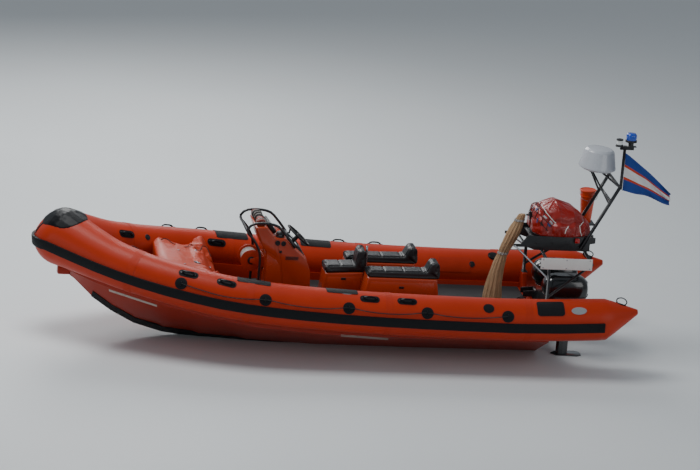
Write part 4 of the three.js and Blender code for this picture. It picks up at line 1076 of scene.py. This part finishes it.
def bag_form(at, normal):
    """The bag's large forms: a lower peak, the parting between its lumps, and a swollen roll along its foot."""
    if at.z < BAG_LOW:
        return NO_MOVE
    forward = at.x - parting_at(at.z)
    push = -PARTING_DEPTH * groove(forward, PARTING_WIDTH)
    if forward < 0:
        over = at.z - BAG_WAIST["height"] - BAG_WAIST["wave"] * sin(at.x * 31)
        push -= BAG_WAIST["deep"] * groove(over, BAG_WAIST["wide"])
        push += BAG_FOOT["swell"] * groove(over + BAG_FOOT["below"], BAG_FOOT["wide"])
    else:
        push += FORWARD_LUMPS * sin(at.x * 44 + at.z * 23) * sin(at.z * 38)
    return normal * push - UP * (BAG_PRESSED * max(0.0, at.z - BAG_TOP))


def bag_folds(at, normal):
    """Long folds in the cover, from its peak outward."""
    across, along = at.y - BAG_PEAK[1], at.x - BAG_PEAK[0]
    away = hypot(across, along)
    if at.z < FOLDS_FROM or at.x > parting_at(at.z) or away < 0.02:
        return NO_MOVE
    bearing = atan2(across, along)
    lift = 0.0
    for i, fold in enumerate(BAG_FOLDS):
        turn = bearing - radians(fold)
        if cos(turn) > 0:
            reach = FOLD["reach"] + FOLD["step"] * (i % 3)
            lift += groove(away * sin(turn), FOLD["narrow"] + FOLD["widens"] * away) * max(0.0, 1 - away / reach)
    return normal * (FOLD["high"] * lift - FOLD["sunk"])


def packed_bag():
    """The righting bag in its cover, the net over its forward lump and the lines that hold it."""
    bag = shaped(remeshed(from_solid("righting_bag"), 0.012, 0), bag_form)
    swollen(bag, voxel=0.014, pressure=2.0, slack=0.05, cap=0.016, held=lambda at: at.z < BAG_LOW)
    smoothed(shaped(divided(bag, 1), bag_folds), 1)
    settle(bag, "righting_bag_cover", "bag_fabric", replaces=("righting_bag",), angle=80)

    def laid_on_bag(ends, radius, parts):
        places = []
        for (u0, v0), (u1, v1) in zip(ends, ends[1:]):
            for i in range(parts + 1):
                share = i / parts
                place, out = seen_on(bag, *in_picture(u0 + (u1 - u0) * share, v0 + (v1 - v0) * share))
                if place and (not places or (place - places[-1]).length > 0.004):
                    places.append(place + out * radius * 0.6)
        return tube_through(places, radius, 2)

    cords = with_mirrored([laid_on_bag(ends, 0.0035, 12) for ends in NET_LINES])
    lines = with_mirrored([laid_on_bag(ends, 0.0055, 5) for ends in BAG_LINES])
    settle(cords, "bag_net", "net_cord", angle=60)
    settle(lines, "bag_lines", "strap_white", angle=60)
    label = flat_patch(0.055, 0.022, 0.05)
    for skin, spots in BAG_LABELS.items():
        labels = []
        for u, v in spots:
            place, out = seen_on(bag, *in_picture(u, v))
            if place:
                labels += with_mirrored([stuck_on(label, frame_at(place, (0.6, 0, 0.8), out), bag, 0.003, 0.002)])
        settle(labels, f"bag_labels_{skin}", skin, angle=60)
    drop(label)


packed_bag()

COVER_HALF = 0.62
LASHING = {"from": 1.42, "step": 0.08, "points": 9, "near": 0.50, "far": 0.60, "lift": 0.006, "radius": 0.004}
EYELETS = ((1.46, 0.25), (1.46, -0.25), (1.62, 0.45), (1.62, -0.45), (1.86, 0.3), (1.86, -0.3))


def laced_cover():
    """The fabric over the foredeck gear: its folds, eyelets, the middle fitting and the lashing to the tubes."""
    cover = from_solid("bow_cover")
    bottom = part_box("bow_cover")[0]
    swollen(cover, voxel=0.014, pressure=1.2, slack=0.09, cap=0.02,
            held=lambda at: at.z < bottom.z + 0.02 or abs(at.y) > COVER_HALF)
    smoothed(cover, 1)
    settle(cover, "bow_cover_fabric", "cover_fabric", replaces=("bow_cover",), angle=80)

    def place_on(x, y):
        place, normal = above(cover, x, y)
        return frame_at(place, FORE, normal)

    ring = turned_part([(0.011, -0.002), (0.017, 0.001), (0.0165, 0.004), (0.012, 0.005), (0.010, 0.002),
                        (0.009, -0.002)], 24)
    scattered([ring], [place_on(x, y) for x, y in EYELETS], "cover_eyelets", "steel_brushed", 50)
    fitting = place_on(1.66, 0.0)
    disc = turned_part([(0.045, -0.004), (0.045, 0.003), (0.04, 0.005)], 32, fitting)
    bars = []
    for long, wide in ((0.034, 0.006), (0.006, 0.034)):
        bars.append(rounded_box((-long, -wide, 0.004), (long, wide, 0.011), 0.002))
        bars[-1].matrix_world = fitting
    settle(disc, "cover_fitting_disc", "black_rubber")
    settle(bars, "cover_fitting", "shell_white")
    knots = []
    for side in SIDES:
        line = []
        for i in range(LASHING["points"]):
            out = side * LASHING["far" if i % 2 else "near"]
            place, normal = above(cover, LASHING["from"] + LASHING["step"] * i, out)
            if place:
                line.append(place + normal * LASHING["lift"])
        knots.append(tube_through(line, LASHING["radius"], 2))
    settle(knots, "cover_lashing", "rope_black", angle=60)


laced_cover()

# The lines round the roll: where they lie across the boat, the angles they run over, and their drift at each step.
ROLL_TURNS = (-0.19, -0.172, -0.15, -0.125, -0.107, -0.08, -0.062, -0.035, -0.01, 0.012, 0.036, 0.06, 0.09, 0.2)
ROLL_ANGLES = [-48 + 15.5 * step for step in range(19)]
ROLL_DRIFT = 0.0006
ROLL_LINE = 0.009
ROLL_PINCH, ROLL_SUNK = 0.007, 0.003


def rolled_spray_cover():
    """The spray cover, rolled up on top of the console, with the lines wound around it."""
    roll = from_solid("rolled_cover")
    low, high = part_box("rolled_cover")
    middle = (low + high) / 2
    swollen(roll, voxel=0.008, pressure=3.0, slack=0.06, cap=0.010, held=lambda at: at.z < low.z + 0.008)

    def tied(at, normal):
        depth = sum(groove(at.y - y, ROLL_LINE) for y in ROLL_TURNS)
        return normal * (-ROLL_PINCH * min(depth, 1.0) - ROLL_SUNK)

    shaped(divided(roll, 1), tied)
    settle(roll, "rolled_cover_fabric", "roll_fabric", replaces=("rolled_cover",), angle=80)
    lines = {"black": [], "white": []}
    for i, y in enumerate(ROLL_TURNS):
        places = []
        for step, angle in enumerate(ROLL_ANGLES):
            way = Vector((cos(radians(angle)), 0, sin(radians(angle))))
            start = Vector((middle.x, y + ROLL_DRIFT * step, middle.z)) + 0.2 * way
            hit, place, normal, _ = roll.ray_cast(start, -way)
            if hit:
                places.append(place + normal * 0.003)
        lines["white" if i % 4 == 1 else "black"].append(tube_through(places, ROLL_LINE, 2))
    for colour, pieces in lines.items():
        settle(pieces, f"roll_lines_{colour}", f"rope_{colour}", angle=60)


rolled_spray_cover()

# The drogue's pleats, with their depth and how far the cloth sinks, both as shares of its radius.
DROGUE_PLEATS = 11
PLEAT_DEPTH, PLEAT_SUNK = 0.11, 0.08
# Its line as stations and heights, the heights of its ties, and how they draw it in.
DROGUE_LINE = ((-2.375, 1.705), (-2.33, 1.58), (-2.255, 1.38), (-2.165, 1.19), (-2.105, 0.93), (-2.085, 0.69),
               (-2.08, 0.53))
TIES = (1.19, 1.62)
TIE_PINCH, TIE_WIDTH = 0.16, 0.05


def furled_drogue():
    """The sea anchor's canvas, furled in long pleats and tied."""
    bundle = divided(from_solid("drogue"), 3)

    def centre_at(z):
        for (x0, z0), (x1, z1) in zip(DROGUE_LINE, DROGUE_LINE[1:]):
            if z >= z1:
                return x0 + (x1 - x0) * (z - z0) / (z1 - z0)
        return DROGUE_LINE[-1][0]

    def pleat(at, normal):
        if abs(normal.z) > 0.9:
            return NO_MOVE
        forward = at.x - centre_at(at.z)
        turn = atan2(at.y, forward)
        wave = sin(DROGUE_PLEATS * turn + 4 * at.z) * 0.6
        wave += sin((DROGUE_PLEATS * 2 + 3) * turn - 9 * at.z) * 0.3
        pinch = sum(groove(at.z - z, TIE_WIDTH) for z in TIES) * TIE_PINCH
        return Vector((normal.x, normal.y, 0)) * (hypot(at.y, forward) * (PLEAT_DEPTH * wave - PLEAT_SUNK - pinch))

    shaped(bundle, pleat)
    settle(bundle, "drogue_canvas", "canvas", replaces=("drogue",), angle=80)
    rounds = [level_band(bundle, tie + step, 0.011, 0.001, 0.008) for tie in TIES for step in (-0.008, 0.006)]
    settle(rounds, "drogue_ties", "rope_white", angle=60)


furled_drogue()

# The flag as it flies, with its lower corner at the hoist and how far its edges sink towards the fly.
FLAG = {"fly": 0.62, "tall": 0.48, "x": -3.5379, "y": 0.3223, "z": 2.14, "top_drop": 0.5, "low_drop": 0.17}
FLAG_THICK = 0.0012


def flying_flag():
    """The flag as one thin sheet in loose waves."""

    def fly(at, normal):
        share = at.x + 0.5
        rise = at.y + 0.5
        low = FLAG["z"] - FLAG["low_drop"] * share**1.2
        high = FLAG["z"] + FLAG["tall"] - FLAG["top_drop"] * share**1.1
        fold = 0.055 * sin(share * 9) * share**0.7 - 0.04 * share
        fold += 0.03 * sin(11 * rise + 9 * share) * share**0.6
        return Vector((FLAG["x"] - FLAG["fly"] * share, FLAG["y"] + fold, low + (high - low) * rise)) - at

    cloth = shaped(new_grid(64, 32), fly)
    refine(cloth, "SOLIDIFY", thickness=FLAG_THICK, offset=0)
    settle(cloth, "flag_sheet", "flag_cloth", replaces=("flag",), angle=80)


flying_flag()

# Console: mouldings, vents and the dash

CONSOLE_SIDE = 0.300
PANEL_THICK = 0.007
# The raised panels on each side: corners forward and up, how far they stand out and their rounded edges.
PANELS = (
    (((0.62, 0.56), (0.63, 0.84), (0.668, 1.08), (0.742, 1.345), (0.636, 1.345), (0.352, 1.10), (0.300, 0.945),
      (0.284, 0.56)), PANEL_THICK, 0.005),
    (((0.85, 0.56), (0.85, 1.16), (0.72, 1.075), (0.68, 1.01), (0.65, 0.84), (0.642, 0.56)), 0.004, 0.003),
    (((0.875, 1.215), (0.922, 1.285), (0.975, 1.455), (0.882, 1.462), (0.775, 1.345), (0.712, 1.11)), 0.003, 0.003),
)
VENTS = ((0.728, 1.306), (0.655, 1.300))
SLOT_LEVELS = [1.096 + 0.009 * row for row in range(5)]
DASH_PLACE = frame_at((0.495, 0, 1.245), -PORT, (-0.648, 0, 0.761))
HOOD_FACE = frame_at((0.776, 0, 1.4675), -PORT, (-0.759, 0, 0.651))
# Places of the instruments across the dash, and of the compass forward and to port.
DISPLAYS = (-0.155, 0.155)
DIALS = (-0.2, -0.125, 0.125, 0.2)
SWITCHES = [-0.055 + 0.022 * i for i in range(6)]
HOOD_DISPLAYS = (-0.072, 0.072)
COMPASS = (0.69, 0.215)


def console_body():
    body = bevelled(whole_flats(from_solid("console")), 0.02, 4, 20)
    settle(body, "console_body", "console_gelcoat", replaces=("console",))
    raised = [plate(corners, CONSOLE_SIDE - 0.002, CONSOLE_SIDE + out, bevel) for corners, out, bevel in PANELS]
    door = rounded_box((0.855, -0.2, 0.62), (0.866, 0.2, 0.93), 0.005)
    settle(with_mirrored(raised) + [door], "console_mouldings", "console_gelcoat")


def console_vents():
    """Round and slotted vents, the small side socket and the latches."""
    parts = []
    face = CONSOLE_SIDE + PANEL_THICK
    for x, z in VENTS:
        place = frame_at((x, face, z), FORE, PORT) @ Matrix.Diagonal((1, 1.08, 1, 1))
        rings = [(0.031, -0.003), (0.031, 0.003), (0.028, 0.006), (0.022, 0.006), (0.020, 0.001)]
        parts.append(fixed(turned_part(rings, 28, place)))
    parts.append(rounded_box((0.668, face - 0.002, 1.178), (0.700, face + 0.005, 1.210), 0.003))
    for z in SLOT_LEVELS:
        parts.append(rounded_box((0.455, face - 0.002, z), (0.617, face + 0.005, z + 0.005), 0.002))
    parts = with_mirrored(parts)
    parts += [rounded_box((0.864, y - 0.02, 0.90), (0.872, y + 0.02, 0.935), 0.003) for y in (-0.13, 0.13)]
    settle(parts, "console_vents", "plastic_black")


def dashboard():
    """Instruments on the slope that faces the helm: displays, dials, switches and a compass above."""
    flat = plate([(-0.26, -0.155), (0.26, -0.155), (0.26, 0.155), (-0.26, 0.155)], -0.004, 0.005, 0.003, "Z")
    flat.matrix_world = DASH_PLACE
    housings, glass, dials, marks = [flat], [], [], []

    def on_dash(part, place=DASH_PLACE):
        part.matrix_world = place @ part.matrix_world
        return part

    def dash_box(low, high, bevel):
        return on_dash(rounded_box(low, high, bevel))

    for x in DISPLAYS:
        housings.append(dash_box((x - 0.092, -0.03, 0.003), (x + 0.092, 0.11, 0.024), 0.008))
        glass.append(dash_box((x - 0.078, -0.018, 0.022), (x + 0.078, 0.098, 0.0262), 0.001))
    for x in DIALS:
        place = Matrix.Translation((x, -0.085, 0.004))
        housings.append(on_dash(turned_part([(0.03, 0), (0.03, 0.010), (0.026, 0.012), (0.025, 0.007)], 28, place)))
        dials.append(on_dash(turned_part([(0.0252, 0.002), (0.0252, 0.0078)], 28, place)))
        marks.append(dash_box((x - 0.001, -0.087, 0.0118), (x + 0.001, -0.066, 0.0128), 0.0003))
    for x in SWITCHES:
        housings.append(dash_box((x - 0.007, 0.118, 0.003), (x + 0.007, 0.142, 0.011), 0.002))
        marks.append(dash_box((x - 0.002, 0.134, 0.0105), (x + 0.002, 0.138, 0.0118), 0.0004))
    housings.append(turned_part([(0.055, 0), (0.055, 0.014), (0.05, 0.024), (0.05, 0.05), (0.042, 0.068),
                                 (0.022, 0.078)], 32, Matrix.Translation((*COMPASS, 1.358))))
    card = turned_part([(0.0515, 0), (0.0515, 0.018)], 32, Matrix.Translation((*COMPASS, 1.383)))
    for y in HOOD_DISPLAYS:
        glass.append(on_dash(rounded_box((y - 0.062, -0.062, -0.001), (y + 0.062, 0.062, 0.0025), 0.001), HOOD_FACE))
    settle(housings, "dash_housings", "plastic_black")
    settle(glass + [card], "dash_displays", "display_glass")
    settle(dials, "dash_dials", "dial_face")
    settle(marks, "dash_marks", "red_lens")


console_body()
console_vents()
dashboard()

# Ropes and lines

REEL = {"x": 1.010, "z": 1.020, "half": 0.1165, "core": 0.098, "turns": 13, "hub": 0.1305}


def reel_turns():
    """The line wound on the reel, turn beside turn."""
    half, core = REEL["half"], REEL["core"]
    pitch = 2 * half / REEL["turns"]
    rings = [(0.05, -half)]
    for turn in range(REEL["turns"]):
        start = -half + pitch * turn
        rings += [(core + rise, start + pitch * share)
                  for rise, share in ((0, 0.04), (0.0055, 0.22), (0.007, 0.5), (0.0055, 0.78))]
    rings.append((0.05, half))
    axle = Matrix.Translation((REEL["x"], 0, REEL["z"])) @ Matrix.Rotation(radians(-90), 4, "X")
    settle(turned_part(rings, 48, axle), "reel_turns", "rope_white", "reel", ("reel_line",), 60)
    hubs = [turned_part([(0.05, 0), (0.05, 0.006), (0.03, 0.012), (0.02, 0.012)], 24,
                        frame_at((REEL["x"], side * REEL["hub"], REEL["z"]), FORE, side * PORT)) for side in SIDES]
    settle(hubs, "reel_hubs", "plastic_black", "reel")


LIFELINE_X = (1.93, 0.97, -0.04, -1.02, -2.03)
LIFELINE_ANGLE = 24
LIFELINE_SAG = 0.035
LIFELINE_RADIUS = 0.0055
# How far the line's middle stands off the tube at a disc and between two.
DISC_LIFT, SPAN_LIFT = 0.0125, 0.0075


def lifelines(side):
    """The grab line along a side: discs with their loops, and the line that hangs a little between them."""
    disc = flat_patch(0.15, 0.15)
    boss = flat_patch(0.07, 0.07)
    loop = tube_through([(-0.026, 0, 0.004), (-0.02, 0, 0.017), (0.02, 0, 0.017), (0.026, 0, 0.004)], 0.004)
    discs, loops, line = [], [], []
    for x, ahead in zip(LIFELINE_X, (*LIFELINE_X[1:], None)):
        place = on_collar(x, LIFELINE_ANGLE, side)
        discs.append(stuck_at(disc, x, LIFELINE_ANGLE, side, 0.005))
        discs.append(stuck_at(boss, x, LIFELINE_ANGLE, side, 0.008, 0.001))
        loops.append(copied(loop, place @ Matrix.Rotation(radians(90), 4, "Z")))
        line.append(place @ (UP * DISC_LIFT))
        if ahead is not None:
            for share in (0.25, 0.5, 0.75):
                sag = LIFELINE_SAG * (1 - (2 * share - 1) ** 2)
                between = on_collar(x + (ahead - x) * share, LIFELINE_ANGLE - degrees(sag / TUBE_RADIUS), side)
                line.append(between @ (UP * SPAN_LIFT))
    drop(disc, boss, loop)
    rope = tube_through(line, LIFELINE_RADIUS, 2)
    node = f"lifeline_{SIDES[side]}"
    settle(discs, f"lifeline_discs_{SIDES[side]}", "black_rubber", replaces=(node,))
    settle(loops, f"lifeline_loops_{SIDES[side]}", "gloss_rubber", angle=50)
    settle(rope, f"lifeline_rope_{SIDES[side]}", "rope_black", angle=60)


reel_turns()
for side in SIDES:
    lifelines(side)

# Seat pods, engines' cowls, lights and the small fittings

POD_PANELS = (
    (-0.165, 0.165, ((0.075, 0.60), (0.045, 0.85), (-0.365, 0.865), (-0.385, 0.60))),
    (0.18, 0.47, ((-0.40, 0.60), (-0.44, 0.90), (-1.24, 0.90), (-1.27, 0.60))),
    (-0.47, -0.18, ((-0.23, 0.60), (-0.27, 0.90), (-1.07, 0.90), (-1.10, 0.60))),
)


def pod_doors():
    """Locker doors let into the sides of the seat pods, with their latches."""
    doors, latches = [], []
    for right, left, corners in POD_PANELS:
        x = (corners[0][0] + corners[3][0]) / 2
        for y, out in ((left, 1), (right, -1)):
            low, high = sorted((y - 0.003 * out, y + 0.005 * out))
            doors.append(plate(corners, low, high, 0.003))
            low, high = sorted((y, y + 0.012 * out))
            latches.append(rounded_box((x - 0.03, low, 0.82), (x + 0.03, high, 0.85), 0.004))
    settle(doors, "pod_doors", "console_gelcoat")
    settle(latches, "pod_latches", "plastic_black")


def bucket_fittings():
    """The rim and band of the line bucket, its wire bail, and a coil of line inside it."""
    low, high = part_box("canister")
    x, y = (low.x + high.x) / 2, (low.y + high.y) / 2
    rim = turned_part([(0.103, 0), (0.1075, 0.004), (0.1075, 0.016), (0.103, 0.021), (0.094, 0.021), (0.0925, 0.016)],
                      40, Matrix.Translation((x, y, high.z - 0.02)))
    belt = turned_part([(0.093, 0), (0.0985, 0.002), (0.1, 0.012), (0.095, 0.014)], 40,
                       Matrix.Translation((x, y, high.z - 0.085)))
    settle([rim, belt], "bucket_rim", "bucket_plastic", angle=50)
    coil = []
    for i in range(4):
        put_down()
        bpy.ops.mesh.primitive_torus_add(major_radius=0.062 - 0.006 * (i % 2), minor_radius=0.009, major_segments=32,
                                         minor_segments=8, location=(x, y, high.z - 0.10 + 0.016 * i))
        coil.append(bpy.context.object)
    path = ((-0.105, 0, 0.03), (-0.112, 0.05, 0.06), (-0.085, 0.1, 0.1), (0, 0.124, 0.115), (0.085, 0.1, 0.1),
            (0.112, 0.05, 0.06), (0.105, 0, 0.03))
    bail = tube_through([(x + a, y + b, high.z - c) for a, b, c in path], 0.003, 2)
    settle(coil, "bucket_line", "rope_white", angle=60)
    settle(bail, "bucket_bail", "steel_brushed", angle=60)


# Bolts: stations, and heights or places to port.
FOOT_BOLTS = {"x": (-2.652, -2.604), "y": (0.715, 0.778), "z": 0.7502}
TRAY_BOLTS = {"x": (-3.12, -2.92, -2.72, -2.52), "y": 0.3, "z": 1.42}


def frame_bolts():
    """Hexagon bolts in the feet of the stern frame and along the tray."""
    bolt = turned_part([(0.009, 0), (0.009, 0.006), (0.007, 0.0075)], 6)
    washer = turned_part([(0.013, -0.001), (0.013, 0.0015)], 20)
    places = []
    for side in SIDES:
        places += [Matrix.Translation((x, side * y, FOOT_BOLTS["z"]))
                   for x in FOOT_BOLTS["x"] for y in FOOT_BOLTS["y"]]
        places += [frame_at((x, side * TRAY_BOLTS["y"], TRAY_BOLTS["z"]), FORE, side * PORT) for x in TRAY_BOLTS["x"]]
    scattered([bolt, washer], places, "frame_bolts", "frame_paint")


COWL_SEAM = {"low": 0.775, "height": 0.010, "lift": -0.0005, "thick": 0.004}
LOUVRE_LEVELS = [0.90 + 0.018 * i for i in range(4)]


def cowl_and_trim(side):
    """An engine's cowl with its seam, latch and louvres."""
    node, body = f"cowl_{side}", f"engine_{side}"
    bottom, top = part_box(node)
    middle = (bottom.y + top.y) / 2
    cowl = puffed(divided(from_solid(node), 3), 0.004)
    settle(cowl, f"{node}_finished", "cowl_paint", body, (node,), 50)

    def front_box(start, end, half, low, high, bevel):
        return rounded_box((bottom.x + start, middle - half, low), (bottom.x + end, middle + half, high), bevel)

    trim = [level_band(cowl, **COWL_SEAM), front_box(-0.004, 0.02, 0.03, 0.765, 0.80, 0.005)]
    trim += [front_box(0.02, 0.06, 0.07, level, level + 0.008, 0.003) for level in LOUVRE_LEVELS]
    settle(trim, f"cowl_trim_{side}", "plastic_black", body)


BEACON_RIBS = 18
RIB_DEPTH = 0.022


def mast_lights():
    """The blue light, with a dark foot and a ribbed lens, and the masthead light's lens."""
    bottom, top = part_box("blue_light")
    centre = (bottom + top) / 2
    foot = turned_part([(0.072, 0), (0.072, 0.022), (0.069, 0.026), (0.05, 0.026)], 40,
                       Matrix.Translation((centre.x, centre.y, bottom.z)))
    lens = turned_part([(0.062, 0), (0.0635, 0.006), (0.0655, 0.058), (0.061, 0.075), (0.05, 0.086), (0.03, 0.0905)],
                       BEACON_RIBS * 4, Matrix.Translation((centre.x, centre.y, bottom.z + 0.024)))

    def ribbed(at, normal):
        out = Vector((at.x - centre.x, at.y - centre.y, 0))
        return out * RIB_DEPTH * cos(BEACON_RIBS * atan2(out.y, out.x))

    settle(shaped(fixed(lens), ribbed), "blue_light_lens", "blue_lens", replaces=("blue_light",), angle=60)
    settle(foot, "blue_light_foot", "plastic_black")
    low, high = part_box("masthead_light")
    middle = (low + high) / 2
    globe = turned_part([(0.033, 0), (0.036, 0.008), (0.036, 0.044), (0.033, 0.053)], 32,
                        Matrix.Translation((middle.x, middle.y, low.z + 0.0165)))
    settle(globe, "masthead_lens", "clear_lens", angle=50)


# The white strips' ends, in metres across and up the picture.
STRIPS = (((-2.683, -0.009), (-2.091, -0.201)), ((0.164, -0.566), (0.748, -0.616)))
STRIP_WIDTH = 0.024
STRIP_THICK = 0.003


def chine_strips():
    """White strips along the chines, where the picture shows them, and the same to starboard."""
    hull = bpy.data.objects["hull_finished"]
    strips = []
    for start, end in STRIPS:

        def lay(at, normal):
            share = at.x + 0.5
            across = start[0] + (end[0] - start[0]) * share
            rise = start[1] + (end[1] - start[1]) * share + at.y * STRIP_WIDTH
            place, out = seen_on(hull, across, rise)
            return place + out * 0.002 - at

        strip = shaped(new_grid(16, 2), lay)
        face_out(strip)
        strips.append(refine(strip, "SOLIDIFY", thickness=STRIP_THICK, offset=0))
    settle(with_mirrored(strips), "chine_strips", "chine_strip_white")


def end_fittings():
    """The stem head casting, the lashing rings and the standing loops on the tubes' cones."""
    head = rounded_box((3.235, -0.05, 0.735), (3.395, 0.05, 0.84), 0.02)
    settle(head, "stem_head", "hull_gelcoat")
    disc = flat_patch(0.13, 0.13)
    ring = tube_through([(-0.045, 0, 0.004), (-0.05, 0.03, 0.012), (0, 0.06, 0.016), (0.05, 0.03, 0.012),
                         (0.045, 0, 0.004)], 0.006)
    hoop = tube_through([(-0.050, 0, 0.000), (-0.066, 0, 0.034), (-0.036, 0, 0.066), (0.036, 0, 0.066),
                         (0.066, 0, 0.034), (0.050, 0, 0.000)], 0.007)
    rubber = []
    for side in SIDES:
        for x, angle, loop in ((-3.50, 100, hoop), (-2.25, 120, ring)):
            rubber += [stuck_at(disc, x, angle, side, 0.005), copied(loop, on_collar(x, angle, side))]
    drop(disc, ring, hoop)
    settle(rubber, "lashing_rings", "black_rubber", angle=50)


def sign_bolts():
    bolt = turned_part([(0.009, 0), (0.009, 0.003), (0.006, 0.005)], 16)
    low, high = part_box("sign_plate")
    places = [frame_at((x, high.y, z), FORE, PORT) for x in (low.x + 0.03, (low.x + high.x) / 2, high.x - 0.03)
              for z in (low.z + 0.02, high.z - 0.02)]
    scattered([bolt], places, "sign_bolts", "steel_brushed")


pod_doors()
bucket_fittings()
frame_bolts()
for side_name in SIDES.values():
    cowl_and_trim(side_name)
mast_lights()
chine_strips()
end_fittings()
sign_bolts()
